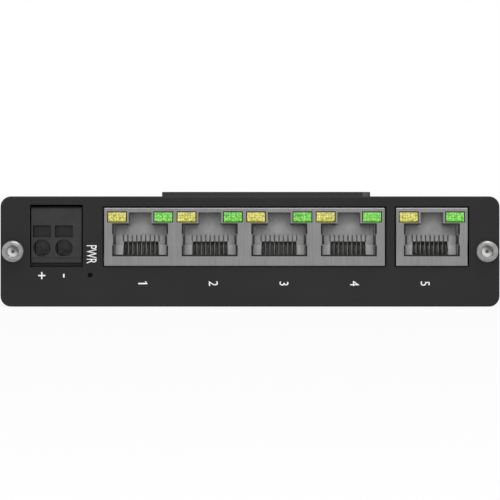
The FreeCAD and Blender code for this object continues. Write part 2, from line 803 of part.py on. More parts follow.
def jack_body(label, centre, width, count):
    """Moulded block: a keyed cavity right through each port, a rim, spring notches and light channels."""
    block = Piece(label, x=centre)
    half = f"({width} / 2 - sheet - carrier_play)"
    block.pad("XY", BOARD_TOP, z_in_jack("jack_height - sheet - carrier_play"),
              rectangle(f"-{half}", BODY_FACE, half, BODY_BACK))
    x = f"({-(count - 1) / 2} * port_pitch)"
    half_mouth, half_cavity = "mouth_width / 2", "cavity_width / 2"
    low, shoulder = z_in_jack("cavity_low"), z_in_jack("cavity_high")
    features = [
        block.cut("XZ", BODY_FACE, f"{BODY_FACE} + mouth_recess", rectangle(
            f"{x} - {half_mouth}", z_in_jack("mouth_low"), f"{x} + {half_mouth}", z_in_jack("mouth_high"))),
        block.cut("XZ", BODY_FACE, BODY_BACK, keyed_outline(
            x, half_cavity, low, shoulder, z_in_jack("keyway_high"))),
        block.cut("XZ", "lip_depth", BODY_BACK, rectangle(
            f"{x} - {half_cavity}", BOARD_TOP, f"{x} + {half_cavity}", low)),
        block.cut("XZ", BODY_FACE, "spring_end + spring_notch", rectangle(
            f"{x} - {half_mouth} - spring_notch", z_in_jack("spring_low - spring_notch"),
            f"{x} + {half_mouth} + spring_notch", z_in_jack("spring_high + spring_notch"))),
        block.cut("XZ", BODY_FACE, BODY_BACK, *light_windows(x)),
    ]
    if count > 1:
        block.repeat(features, "X", "port_pitch", count)


def contact_carrier(port, centre):
    """Light insert at the back of a port: stop for the plug, floor with eight slots, and a toothed comb."""
    carrier = Piece(f"port_{port}_contact_carrier", x=centre)
    half = "(cavity_width / 2 - carrier_play)"
    carrier.pad("XZ", "cavity_depth", BODY_BACK, keyed_outline(
        "0", half, BOARD_TOP, z_in_jack("cavity_high - carrier_play"),
        z_in_jack("keyway_high - carrier_play")))
    carrier.cut("XZ", "cavity_depth", "cavity_depth + carrier_step", rectangle(
        f"-{half}", z_in_jack("comb_high"), half, z_in_jack("keyway_high")))
    carrier.pad("XZ", "lip_depth", "cavity_depth", rectangle(
        f"-{half}", BOARD_TOP, half, z_in_jack("cavity_low")))
    first = FIRST_CONTACT
    slot = carrier.cut("XZ", "lip_depth", BODY_BACK, rectangle(
        f"{first} - contact_slot / 2", BOARD_TOP, f"{first} + contact_slot / 2", z_in_jack("comb_low")))
    carrier.repeat([slot], "X", "contact_pitch", CONTACTS)
    carrier.cut("XZ", "cavity_depth", "cavity_depth + throat_depth", rectangle(
        first, z_in_jack("cavity_low"), f"-{first}", z_in_jack("comb_low")))
    gap = f"({first} - contact_pitch / 2)"
    tooth_gap = carrier.cut("XZ", "cavity_depth", "cavity_depth + comb_slot_depth", rectangle(
        f"{gap} - comb_slot / 2", z_in_jack("comb_low"), f"{gap} + comb_slot / 2", z_in_jack("comb_high")))
    carrier.repeat([tooth_gap], "X", "contact_pitch", CONTACTS + 1)


def port_contacts(port, centre):
    """Eight sprung wires: a foot on the board, a run to the front, and a finger rising to the comb."""
    wires = Piece(f"port_{port}_contacts", x=centre)
    first = FIRST_CONTACT
    half = "(contact_thickness / 2)"
    foot = f"({BOARD_TOP} + {half})"
    run = f"({foot} + contact_run_height)"
    route = path(("contact_tail", foot), ("contact_tail - contact_foot", foot),
                 ("contact_tail - contact_foot - contact_run_height", run), ("contact_bend", run),
                 ("contact_tip", z_in_jack("contact_tip_height")))
    wire = wires.sweep("YZ", first, route, "XZ", "contact_tail", centred(
        first, foot, "contact_width", "contact_thickness"))
    wires.repeat([wire], "X", "contact_pitch", CONTACTS)


def port_light(port, colour, centre, side):
    """Lens block in the corner of the port's face, with two leads bent down behind the jack."""
    light = Piece(f"port_{port}_{colour}_light", x=f"{centre} + {side} * (light_near + light_far) / 2")
    half = "((light_far - light_near) / 2)"
    lens = f"({BODY_FACE} - lens_inset)"
    lens_back = f"({lens} + light_length)"
    light.pad("XZ", lens, lens_back, rectangle(
        f"-{half}", z_in_jack("light_low"), half, z_in_jack("light_high")))
    middle = z_in_jack("(light_low + light_high) / 2")
    low, high = f"({middle} - lead_width / 2)", f"({middle} + lead_width / 2)"
    back = f"({JACK_BACK} - sheet - lead_gap)"
    lead = light.pad("YZ", "(lead_spacing - lead_width) / 2", "(lead_spacing + lead_width) / 2", polygon(
        (lens_back, low), (lens_back, high), (back, high),
        (back, BOARD_TOP), (f"{back} - lead_width", BOARD_TOP), (f"{back} - lead_width", low)))
    light.mirror([lead], "YZ")


def jacks():
    jack_shield("port_bank_shield", "bank_centre", "bank_width", 4)
    jack_body("port_bank_body", "bank_centre", "bank_width", 4)
    jack_shield("port_5_shield", "single_centre", "single_width", 1)
    jack_body("port_5_body", "single_centre", "single_width", 1)
    centres = [f"(bank_centre + {port - 2.5} * port_pitch)" for port in range(1, 5)]
    centres.append("single_centre")
    for port, centre in enumerate(centres, start=1):
        contact_carrier(port, centre)
        port_contacts(port, centre)
        port_light(port, "yellow", centre, -1)
        port_light(port, "green", centre, 1)


# ---------------------------------------------------------------- power terminal

PLUG_STEP = "(plug_front + plug_face_length)"
PLUG_BACK = "(plug_front + plug_length)"
CHAMBER_FRONT = "(plug_front + entry_length)"
CHAMBER_BACK = f"({PLUG_BACK} - chamber_wall)"
CHAMBER_LOW = "(entry_height - chamber_drop)"
CHAMBER_HIGH = "(release_high + chamber_rise)"
LEVER_BACK = f"({CHAMBER_FRONT} + lever_lug)"
PIN_LOW = "(pin_height - pin_width / 2)"
PIN_HIGH = "(pin_height + pin_width / 2)"


def power_plug():
    """Two-pole plug: round conductor entries, square wells for the levers, and a chamber for each clamp."""
    plug = Piece("power_plug_body")
    plug.pad("XZ", "plug_front", PLUG_STEP, rectangle("plug_left", "plug_low", "plug_right", "plug_high"))
    plug.chamfer("plug_bevel", lies_at("X", y="plug_front", z="plug_low"))
    plug.fillet("plug_edge_radius", lies_at("X", y="plug_front", z="plug_high"))
    plug.pad("XZ", PLUG_STEP, PLUG_BACK, plug_tail("0"))
    for pole in POLES:
        plug.cut("XZ", "plug_front", CHAMBER_FRONT, circle(pole, "entry_height", "entry_radius"))
        plug.cut("XZ", "plug_front", PLUG_STEP, rectangle(
            f"{pole} - release_width / 2", "release_low", f"{pole} + release_width / 2", "release_high"))
        plug.cut("XZ", CHAMBER_FRONT, CHAMBER_BACK, rectangle(
            f"{pole} - chamber_width / 2", CHAMBER_LOW, f"{pole} + chamber_width / 2", CHAMBER_HIGH))
        plug.cut("XZ", CHAMBER_BACK, PLUG_BACK, centred(
            pole, "pin_height", "pin_width + 2 * pin_play", "pin_width + 2 * pin_play"))


def plug_tail(play):
    """The outline of the plug's narrow end, with play all round."""
    return rectangle(f"plug_left + plug_side_step - {play}", f"plug_low + plug_step - {play}",
                     f"plug_right - plug_side_step + {play}", f"plug_high - plug_step + {play}")


def plug_levers():
    """Push levers in the square wells; a lug on each rests behind the plug's face, pushed by the clamp."""
    levers = Piece("power_plug_levers")
    pole = POLES[0]
    half = "(release_width / 2 - lever_play)"
    button = levers.pad("XZ", "plug_front + lever_recess", LEVER_BACK, rectangle(
        f"{pole} - {half}", "release_low + lever_play", f"{pole} + {half}", "release_high - lever_play"))
    lug = levers.pad("XZ", CHAMBER_FRONT, LEVER_BACK, rectangle(
        f"{pole} - clamp_width / 2", "release_low + lever_play",
        f"{pole} + clamp_width / 2", f"{CHAMBER_HIGH} - lever_play"))
    levers.repeat([button, lug], "X", "pole_spacing", 2)


def plug_metal():
    """In each chamber a leaf spring that grips the wire, and a folded socket for the header's pin."""
    pole = POLES[0]
    near, far = LEVER_BACK, f"({CHAMBER_BACK} - clamp_play)"

    clamps = Piece("power_plug_clamps")
    edge = f"({near} + clamp_reach)"
    bend, end = f"({CHAMBER_HIGH} - 2 * clamp_sheet)", f"({CHAMBER_LOW} + clamp_play)"
    spring = clamps.pad("YZ", f"{pole} - clamp_width / 2", f"{pole} + clamp_width / 2", polygon(
        (far, CHAMBER_HIGH), (near, CHAMBER_HIGH), (near, bend), (edge, end),
        (f"{edge} + clamp_sheet", end), (f"{near} + clamp_sheet", bend),
        (f"{near} + clamp_sheet", f"{CHAMBER_HIGH} - clamp_sheet"), (far, f"{CHAMBER_HIGH} - clamp_sheet")))
    clamps.repeat([spring], "X", "pole_spacing", 2)

    sockets = Piece("power_plug_sockets")
    root, grip = f"({far} - socket_length)", f"({far} - grip_length)"
    under = f"({PIN_LOW} - clamp_sheet)"
    base = sockets.pad("YZ", f"{pole} - socket_width / 2", f"{pole} + socket_width / 2", polygon(
        (root, CHAMBER_LOW), (far, CHAMBER_LOW), (far, PIN_LOW), (grip, PIN_LOW), (grip, under),
        (f"{far} - clamp_sheet", under), (f"{far} - clamp_sheet", f"{CHAMBER_LOW} + clamp_sheet"),
        (root, f"{CHAMBER_LOW} + clamp_sheet")))
    roof = sockets.pad("YZ", f"{pole} - pin_width / 2", f"{pole} + pin_width / 2", rectangle(
        grip, PIN_HIGH, far, f"{PIN_HIGH} + clamp_sheet"))
    cheek = sockets.pad("YZ", f"{pole} + pin_width / 2", f"{pole} + pin_width / 2 + clamp_sheet", rectangle(
        grip, under, far, f"{PIN_HIGH} + clamp_sheet"))
    sockets.repeat([base, roof, cheek], "X", "pole_spacing", 2)


def power_header():
    """Shroud on the board that takes the plug's narrow end, and its two bent pins."""
    header = Piece("power_header")
    front = f"({PLUG_STEP} + header_end_play)"
    floor = f"({PLUG_BACK} + header_end_play)"
    back = f"({PLUG_STEP} + header_length)"
    header.pad("XZ", front, back, rectangle("plug_left + plug_side_step - header_wall", BOARD_TOP,
                                            "plug_right - plug_side_step + header_wall", "header_top"))
    header.cut("XZ", front, floor, plug_tail("hole_play"))
    for pole in POLES:
        header.cut("XZ", floor, back, centred(pole, "pin_height", "pin_width", "pin_width"))

    pins = Piece("power_header_pins")
    heel = f"({PIN_BACK} - pin_width)"
    tail = "board_bottom - pin_tail"
    pin = pins.pad("YZ", f"{POLES[0]} - pin_width / 2", f"{POLES[0]} + pin_width / 2", polygon(
        (f"{CHAMBER_BACK} - pin_entry", PIN_LOW), (f"{CHAMBER_BACK} - pin_entry", PIN_HIGH),
        (PIN_BACK, PIN_HIGH), (PIN_BACK, tail), (heel, tail), (heel, PIN_LOW)))
    pins.repeat([pin], "X", "pole_spacing", 2)


def power_light():
    """Chip light under the board and the rod that carries its glow to the front panel."""
    guide = Piece("power_light_guide", x="power_light_x", z="power_light_height")
    rod_back = "(light_rod_front + light_rod_length)"
    guide.pad("XZ", "light_rod_front", rod_back, circle("0", "0", "power_light_radius - hole_play"))
    light = Piece("power_light", x="power_light_x")
    light.pad("XY", "board_bottom - light_chip_height", "board_bottom", rectangle(
        "-light_chip_width / 2", rod_back, "light_chip_width / 2", f"{rod_back} + light_chip_length"))


# ---------------------------------------------------------------- rail bracket and latch

def rail_bracket():
    """One folded sheet: a leg on the housing, a leg down its back, lanced hooks and a latch arm."""
    bracket = Piece("rail_bracket")
    left = "(bracket_centre - bracket_width / 2)"
    right = "(bracket_centre + bracket_width / 2)"
    top = "(case_thickness + bracket_sheet)"
    bracket.pad("YZ", left, right, polygon(
        ("bracket_front", "case_thickness"), (REAR_FACE, "case_thickness"), (REAR_FACE, "bracket_bottom"),
        (BRACKET_BACK, "bracket_bottom"), (BRACKET_BACK, top), ("bracket_front", top)))
    bracket.fillet("bracket_bend", lies_at("X", y=BRACKET_BACK, z=top))
    bracket.chamfer("bracket_corner", lies_at("Z", y="bracket_front"))
    bracket.pad("XZ", REAR_FACE, BRACKET_BACK, rectangle(
        "latch_arm_left", "latch_arm_low", f"{left} + bracket_sheet", "latch_arm_high"))
    half_screws = "bracket_screw_spacing / 2"
    bracket.cut("XZ", REAR_FACE, BRACKET_BACK,
                rectangle("spring_left", "spring_height - spring_window / 2",
                          "spring_left + spring_length + spring_wire", "spring_height + spring_window / 2"),
                circle(f"bracket_centre - {half_screws}", "bracket_screw_height", "screw_clearance_radius"),
                circle(f"bracket_centre + {half_screws}", "bracket_screw_height", "screw_clearance_radius"),
                circle("rivet_right", "rivet_height", "rivet_radius + hole_play"),
                circle("rivet_right - rivet_spacing", "rivet_height", "rivet_radius + hole_play"))
    # Each hook is lanced out of the back leg, which leaves a window of its developed length.
    lanced = bracket.cut("XZ", REAR_FACE, BRACKET_BACK, rectangle(
        f"{RAIL_RIGHT} - hook_reach - bracket_sheet - rail_lip_gap", "hook_low",
        RAIL_RIGHT, "hook_low + hook_width"))
    inner, outer = RAIL_RIGHT, f"({RAIL_RIGHT} + bracket_sheet)"
    lip, back = f"({BRACKET_BACK} + rail_lip_gap)", f"({BRACKET_BACK} + rail_lip_gap + bracket_sheet)"
    tip = f"({RAIL_RIGHT} - hook_reach)"
    hook = bracket.pad("XY", "hook_low", "hook_low + hook_width", polygon(
        (inner, REAR_FACE), (outer, REAR_FACE), (outer, f"{back} - hook_bevel"),
        (f"{outer} - hook_bevel", back), (tip, back), (f"{tip} - hook_tip", f"{lip} + hook_tip"),
        (tip, lip), (inner, lip)))
    bracket.repeat([lanced, hook], "Z", "hook_spacing", 2)
    bracket.pad("XY", "spring_height - tongue_width / 2", "spring_height + tongue_width / 2", rectangle(
        "spring_left - tongue_sheet", REAR_FACE, "spring_left", f"{LATCH_BACK} - tongue_sheet / 2"))


def rail_latch():
    """Sliding catch: a nose with a lead-in ramp, two guide slots, a spring window and a pull tab."""
    latch = Piece("rail_latch")
    nose = f"({BRACKET_BACK} + rail_lip_gap)"
    tip = f"({RAIL_LEFT} + latch_nose_reach)"
    ramp_end = f"({RAIL_LEFT} - latch_nose_edge)"
    shoulder = f"({ramp_end} - latch_nose_flat)"
    latch.pad("XY", "latch_low", "latch_low + latch_width", polygon(
        ("latch_tab_end", LATCH_FRONT), (RAIL_LEFT, LATCH_FRONT), (RAIL_LEFT, nose), (tip, nose),
        (tip, f"{nose} + latch_nose_edge"), (ramp_end, NOSE_BACK), (shoulder, NOSE_BACK),
        (f"{shoulder} - latch_shoulder", LATCH_BACK), ("latch_tab_end", LATCH_BACK)))
    slots = []
    for rivet in ("rivet_right", "rivet_right - rivet_spacing"):
        slots.append(long_hole(rivet, f"{rivet} + latch_travel", "rivet_height", "slide_slot_width"))
    pull = "(latch_tab_end + pull_slot_edge)"
    latch.cut("XZ", LATCH_FRONT, LATCH_BACK, *slots,
              rectangle("spring_left - tongue_play", "spring_height - spring_window / 2",
                        "spring_left + spring_length", "spring_height + spring_window / 2"),
              rectangle(pull, "latch_low + (latch_width - pull_slot_length) / 2",
                        f"{pull} + pull_slot_width", "latch_low + (latch_width + pull_slot_length) / 2"))
    latch.fillet("latch_corner", lies_at("Y", x="latch_tab_end"))


def latch_rivets():
    """Two rivets, set with running clearance, that hold the latch to the bracket and guide its slots."""
    rivets = Piece("latch_rivets", x="rivet_right - rivet_spacing", z="rivet_height")
    head = f"({LATCH_BACK} + rivet_play)"
    shank = rivets.pad("XZ", REAR_FACE, head, circle("0", "0", "rivet_radius"))
    rivet = rivets.pad("XZ", head, f"{head} + rivet_head_height", circle("0", "0", "rivet_head_radius"))
    rivets.repeat([shank, rivet], "X", "rivet_spacing", 2)


def latch_spring():
    """Coil spring between the bracket's tongue and the end of the latch's window, wound in short runs."""
    wire = number("spring_wire / 2")
    radius = number("spring_radius")
    end_play = number("spring_end_play")
    length = number("spring_length") - 2 * (wire + end_play)
    runs_per_turn = 8
    steps = int(number("spring_turns")) * runs_per_turn

    def on_helix(step):
        turn = 2 * math.pi * step / runs_per_turn
        return FreeCAD.Vector(radius * math.cos(turn), radius * math.sin(turn), length * step / steps)

    points = [on_helix(step) for step in range(steps + 1)]
    out = FreeCAD.Vector(1, 0, 0)
    across = (points[1] - points[0]).normalize().cross(out)
    sides = 6
    section = []
    for side in range(sides):
        angle = 2 * math.pi * side / sides
        section.append(points[0] + out * (wire * math.cos(angle)) + across * (wire * math.sin(angle)))
    ring = Part.makePolygon(section + section[:1])
    spring = doc.addObject("Part::Feature", "latch_spring")
    spring.Label = "latch_spring"
    spring.Shape = Part.makePolygon(points).makePipeShell([ring], True, False, 1)
    along_x = FreeCAD.Rotation(FreeCAD.Vector(0, 0, 1), FreeCAD.Vector(1, 0, 0))
    start = FreeCAD.Vector(number("spring_left") + wire + end_play,
                           number(f"{BRACKET_BACK} + spring_offset - {MIDDLE_DEPTH}"),
                           number("spring_height"))
    spring.Placement = FreeCAD.Placement(start, along_x)
    Piece.made.append(spring)


def earth_terminal():
    """Slotted cheese-head screw with its washer, for the earth wire's ring."""
    screw = Piece("earth_screw", x="earth_x", z=MID_HEIGHT)
    seat = f"({REAR_FACE} + washer_thickness)"
    top = f"({seat} + earth_head_height)"
    screw.pad("XZ", f"{seat} - earth_screw_length", seat, circle("0", "0", "earth_radius"))
    screw.pad("XZ", seat, top, circle("0", "0", "earth_head_radius"))
    screw.cut("XZ", f"{top} - earth_slot_depth", top,
              centred("0", "0", "2 * earth_head_radius + earth_slot_width", "earth_slot_width"))
    washer = Piece("earth_washer", x="earth_x", z=MID_HEIGHT)
    washer.pad("XZ", REAR_FACE, seat, circle("0", "0", "earth_head_radius + washer_overhang"),
               circle("0", "0", "earth_radius + hole_play"))


# ---------------------------------------------------------------- assembly

housing_shell()
front_panel()
rear_panel()
raised_head_screws("front_panel_screws", "screw", "0", -1, "0", MID_HEIGHT)
raised_head_screws("rear_panel_screws", "screw", REAR_FACE, 1, "0", MID_HEIGHT)
main_board()
jacks()
power_plug()
plug_levers()
plug_metal()
power_header()
power_light()
switch_chip()
line_transformers()
power_parts()
rail_bracket()
raised_head_screws("bracket_screws", "bracket_screw", BRACKET_BACK, 1,
                   "bracket_centre", "bracket_screw_height")
rail_latch()
latch_rivets()
latch_spring()
earth_terminal()

doc.recompute()
for item in doc.Objects:
    if "Invalid" in item.State or "Error" in item.State:
        raise RuntimeError(f"{item.Label} failed: {item.State}")
for piece in Piece.made:
    if piece.Shape.isNull() or not piece.Shape.isValid():
        raise RuntimeError(f"{piece.Label} has no valid shape")
    piece.Shape.exportStep(os.path.join("parts", f"{piece.Label}.step"))
    print(f"{piece.Label}: {len(piece.Shape.Solids)} solids, {piece.Shape.Volume:.1f} mm3")
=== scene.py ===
# %% [markdown]
# # A five-port network switch for a rail
#
# The real object is a flat metal tube with a plate screwed on each end. Five shielded jacks and a
# power terminal look out of the front plate, and a folded bracket on the back hooks onto a rail.
# The solids are already made at their true size, so this lesson dresses them: it lights a small
# studio, mixes a finish for every material, and makes the few pieces whose detail is too fine for
# the solids, such as sockets in screw heads, the coil spring and the printed signs.

# %% Load the frame
import json
import math

import bmesh
import bpy
from mathutils import Matrix, Vector


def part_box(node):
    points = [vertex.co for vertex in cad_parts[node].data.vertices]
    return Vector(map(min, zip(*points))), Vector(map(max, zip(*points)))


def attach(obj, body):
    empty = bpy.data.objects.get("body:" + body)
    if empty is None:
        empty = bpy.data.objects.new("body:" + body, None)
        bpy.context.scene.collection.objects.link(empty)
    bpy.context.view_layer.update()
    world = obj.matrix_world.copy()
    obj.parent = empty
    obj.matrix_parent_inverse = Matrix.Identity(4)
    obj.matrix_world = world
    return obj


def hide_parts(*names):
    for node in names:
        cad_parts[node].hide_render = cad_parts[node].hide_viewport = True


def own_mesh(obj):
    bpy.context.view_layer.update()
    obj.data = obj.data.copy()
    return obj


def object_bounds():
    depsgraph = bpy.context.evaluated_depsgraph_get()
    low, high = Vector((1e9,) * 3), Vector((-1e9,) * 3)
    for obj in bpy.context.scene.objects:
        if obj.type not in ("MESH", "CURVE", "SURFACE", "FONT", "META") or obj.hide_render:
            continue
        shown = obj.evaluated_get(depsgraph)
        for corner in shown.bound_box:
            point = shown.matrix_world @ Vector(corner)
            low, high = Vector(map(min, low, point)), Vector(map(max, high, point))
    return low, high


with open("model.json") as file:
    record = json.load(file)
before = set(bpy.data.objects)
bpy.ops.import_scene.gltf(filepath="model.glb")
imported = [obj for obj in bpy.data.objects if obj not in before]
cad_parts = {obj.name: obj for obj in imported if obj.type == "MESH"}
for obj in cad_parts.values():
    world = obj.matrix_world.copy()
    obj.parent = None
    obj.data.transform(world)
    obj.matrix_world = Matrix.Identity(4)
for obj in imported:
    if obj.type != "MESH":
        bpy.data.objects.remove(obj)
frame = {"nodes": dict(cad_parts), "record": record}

solid_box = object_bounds()
MM = 0.001
solid_size = [round(side / MM, 1) for side in solid_box[1] - solid_box[0]]
print(len(frame["nodes"]), "solids,", solid_size, "mm")

# %% [markdown]
# ## The studio
#
# A black object with deep bright sockets wants light that reaches into them. A soft lamp behind the
# camera and a little above it looks straight into the jacks, and leaves a soft shadow under the
# upper edge of every recess. A second lamp overhead and in front lights the top and the rims. One
# hard lamp would be simpler, but its shadows would cut the small sockets in half. The pale room
# fills in the rest at a plain level, while the camera and mirror-like surfaces see it white. The
# front lamp is hidden from mirror reflections, as crossed filters do, so metal keeps its own grey.

# %% White room and white floor
scene = bpy.context.scene
scene.view_settings.view_transform = "Standard"

ROOM_LIGHT = 0.36
FLOOR_WHITE = 0.9
FLOOR_GLOW = 0.85
FLOOR_REACH = 6.0
FLOOR_DROP = 0.02 * MM


def seen_directly(tree):
    """1 for rays from the camera, and for those that mirror-like and clear surfaces send on."""
    path = tree.nodes.new("ShaderNodeLightPath")
    total = path.outputs["Is Camera Ray"]
    for kind in ("Is Glossy Ray", "Is Transmission Ray"):
        joined = tree.nodes.new("ShaderNodeMath")
        joined.operation = "MAXIMUM"
        tree.links.new(total, joined.inputs[0])
        tree.links.new(path.outputs[kind], joined.inputs[1])
        total = joined.outputs[0]
    return total


room = bpy.data.worlds.new("white_room")
room.use_nodes = True
strength = room.node_tree.nodes.new("ShaderNodeMapRange")
strength.inputs["To Min"].default_value = ROOM_LIGHT
strength.inputs["To Max"].default_value = 1.0
room.node_tree.links.new(seen_directly(room.node_tree), strength.inputs["Value"])
glow = room.node_tree.nodes["Background"]
glow.inputs["Color"].default_value = (1, 1, 1, 1)
room.node_tree.links.new(strength.outputs["Result"], glow.inputs["Strength"])
scene.world = room

floor_finish = bpy.data.materials.new("white_floor")
floor_finish.use_nodes = True
tree = floor_finish.node_tree
painted = tree.nodes["Principled BSDF"]
painted.inputs["Base Color"].default_value = (*[FLOOR_WHITE] * 3, 1)
painted.inputs["Roughness"].default_value = 0.9
painted.inputs["Specular IOR Level"].default_value = 0.0
shine = tree.nodes.new("ShaderNodeEmission")
share = tree.nodes.new("ShaderNodeMapRange")
share.inputs["To Max"].default_value = FLOOR_GLOW
mixed = tree.nodes.new("ShaderNodeMixShader")
tree.links.new(seen_directly(tree), share.inputs["Value"])
tree.links.new(share.outputs["Result"], mixed.inputs["Fac"])
tree.links.new(painted.outputs["BSDF"], mixed.inputs[1])
tree.links.new(shine.outputs["Emission"], mixed.inputs[2])
tree.links.new(mixed.outputs["Shader"], tree.nodes["Material Output"].inputs["Surface"])

floor_mesh = bpy.data.meshes.new("floor")
corners = [(x * FLOOR_REACH, y * FLOOR_REACH, 0) for x, y in ((-1, -1), (1, -1), (1, 1), (-1, 1))]
floor_mesh.from_pydata(corners, [], [(0, 1, 2, 3)])
floor_mesh.materials.append(floor_finish)
floor = bpy.data.objects.new("floor", floor_mesh)
floor.location.z = -FLOOR_DROP
scene.collection.objects.link(floor)
print("room", ROOM_LIGHT, "floor", FLOOR_WHITE)

# %% Soft lamps and camera
CAMERA_DISTANCE = 1.1
VIEW_WIDTH = 113.29 * MM
CAMERA_HEIGHT = 12.84 * MM
SENSOR_WIDTH = 36
LAMPS = {
    "front_lamp": dict(at=(0.0, -1.75, 0.20), size=0.5, power=17.0, shines=False),
    "top_lamp": dict(at=(0.15, -0.35, 1.15), size=0.7, power=6.5, shines=True),
}


def aim(thing, at):
    """Turns a lamp so that it looks at a point."""
    thing.rotation_euler = (Vector(at) - thing.location).to_track_quat("-Z", "Y").to_euler()


for name, settings in LAMPS.items():
    lamp_data = bpy.data.lights.new(name, "AREA")
    lamp_data.energy = settings["power"]
    lamp_data.size = settings["size"]
    lamp = bpy.data.objects.new(name, lamp_data)
    lamp.location = settings["at"]
    lamp.visible_glossy = settings["shines"]
    aim(lamp, (0, 0, 0))
    scene.collection.objects.link(lamp)

panel_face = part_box("front_panel")[0].y
camera_data = bpy.data.cameras.new("camera")
camera_data.sensor_width = SENSOR_WIDTH
camera_data.lens = SENSOR_WIDTH * CAMERA_DISTANCE / VIEW_WIDTH
camera = bpy.data.objects.new("camera", camera_data)
camera.location = (0, panel_face - CAMERA_DISTANCE, CAMERA_HEIGHT)
camera.rotation_euler = (math.pi / 2, 0, 0)
scene.collection.objects.link(camera)
scene.camera = camera
print("lens", round(camera_data.lens, 1), "mm, panel face at", round(panel_face / MM, 2), "mm")

# %% [markdown]
# ## A way to mix finishes
#
# Every finish here is one Principled shader, with a few small networks that vary its colour, its
# roughness and its height. They could be wired by hand in the shader editor, but over twenty
# finishes would repeat the same few moves, so a small class holds those moves. Its coordinates are
# metres, so a grain of a tenth of a millimetre has the same size on every piece.

# %% The finish helper


class Finish:
    """One surface finish: a Principled shader and the networks that vary it."""

    made = {}
    NOISE_SPAN = (0.3, 0.7)
    LEAN_SPAN = (0.98, 0.8)

    def __init__(self, name, colour, roughness, **settings):
        self.material = bpy.data.materials.new(name)
        self.material.use_nodes = True
        self.tree = self.material.node_tree
        self.shader = self.tree.nodes["Principled BSDF"]
        self.set("Base Color", (*colour, 1))
        self.set("Roughness", roughness)
        for socket, value in settings.items():
            self.set(socket.replace("_", " "), value)
        self.place = self.add("ShaderNodeTexCoord").outputs["Object"]
        self.bumped = None
        Finish.made[name] = self

    def set(self, socket, value):
        self.shader.inputs[socket].default_value = value

    def add(self, kind, **sockets):
        """A node, with its sockets set to numbers or joined to other nodes' outputs."""
        node = self.tree.nodes.new(kind)
        for socket, value in sockets.items():
            target = node.inputs[socket.replace("_", " ")]
            if isinstance(value, bpy.types.NodeSocket):
                self.tree.links.new(value, target)
            else:
                target.default_value = value
        return node

    def axes(self):
        """The X, Y and Z coordinates as three separate patterns."""
        return self.add("ShaderNodeSeparateXYZ", Vector=self.place).outputs

    def stretched(self, x, y, z):
        """Coordinates in which a pattern is repeated x, y and z times as densely."""
        return self.add("ShaderNodeMapping", Vector=self.place, Scale=(x, y, z)).outputs["Vector"]

    def grain(self, size, detail=2.0, rough=0.5, place=None):
        """Soft noise whose lumps are about size metres across."""
        vector = place or self.place
        return self.add("ShaderNodeTexNoise", Vector=vector, Scale=1 / size, Detail=detail,
                        Roughness=rough).outputs["Fac"]

    def cells(self, size, randomness=1.0, place=None):
        """Round cells about size metres across."""
        vector = place or self.place
        return self.add("ShaderNodeTexVoronoi", Vector=vector, Scale=1 / size,
                        Randomness=randomness).outputs["Distance"]

    def band(self, source, low, high, to_low=0.0, to_high=1.0):
        """The part of a pattern between low and high, spread from to_low to to_high."""
        node = self.add("ShaderNodeMapRange", Value=source)
        limits = {"From Min": low, "From Max": high, "To Min": to_low, "To Max": to_high}
        for socket, value in limits.items():
            node.inputs[socket].default_value = value
        return node.outputs["Result"]

    def sum(self, first, second, kind="ADD"):
        """Two patterns or numbers added, or put together by another kind of sum."""
        node = self.tree.nodes.new("ShaderNodeMath")
        node.operation = kind
        for socket, value in zip(node.inputs, (first, second)):
            if isinstance(value, bpy.types.NodeSocket):
                self.tree.links.new(value, socket)
            else:
                socket.default_value = value
        return node.outputs[0]

    def blend(self, share, dark, light):
        """A colour between two, which may be colours or other blends."""
        node = self.tree.nodes.new("ShaderNodeMix")
        node.data_type = "RGBA"
        self.tree.links.new(share, node.inputs["Factor"])
        for socket, value in zip((node.inputs[6], node.inputs[7]), (dark, light)):
            if isinstance(value, bpy.types.NodeSocket):
                self.tree.links.new(value, socket)
            else:
                socket.default_value = (*value, 1)
        return node.outputs[2]

    def colour(self, source):
        self.tree.links.new(source, self.shader.inputs["Base Color"])

    def roughness(self, source, low, high):
        spread = self.band(source, *self.NOISE_SPAN, low, high)
        self.tree.links.new(spread, self.shader.inputs["Roughness"])

    def bump(self, source, height, strength=1.0):
        """Raises the surface by the pattern, height metres from its darkest to its brightest."""
        node = self.add("ShaderNodeBump", Height=source, Distance=height, Strength=strength)
        if self.bumped:
            self.tree.links.new(self.bumped, node.inputs["Normal"])
        self.bumped = node.outputs["Normal"]
        self.tree.links.new(self.bumped, self.shader.inputs["Normal"])

    def edges(self, radius):
        """1 along sharp edges and 0 on flats: how far a rounded normal leans from the true one."""
        rounded = self.add("ShaderNodeBevel", Radius=radius).outputs["Normal"]
        true = self.add("ShaderNodeNewGeometry").outputs["True Normal"]
        lean = self.tree.nodes.new("ShaderNodeVectorMath")
        lean.operation = "DOT_PRODUCT"
        self.tree.links.new(rounded, lean.inputs[0])
        self.tree.links.new(true, lean.inputs[1])
        return self.band(lean.outputs["Value"], *self.LEAN_SPAN)


print("finish helper ready")
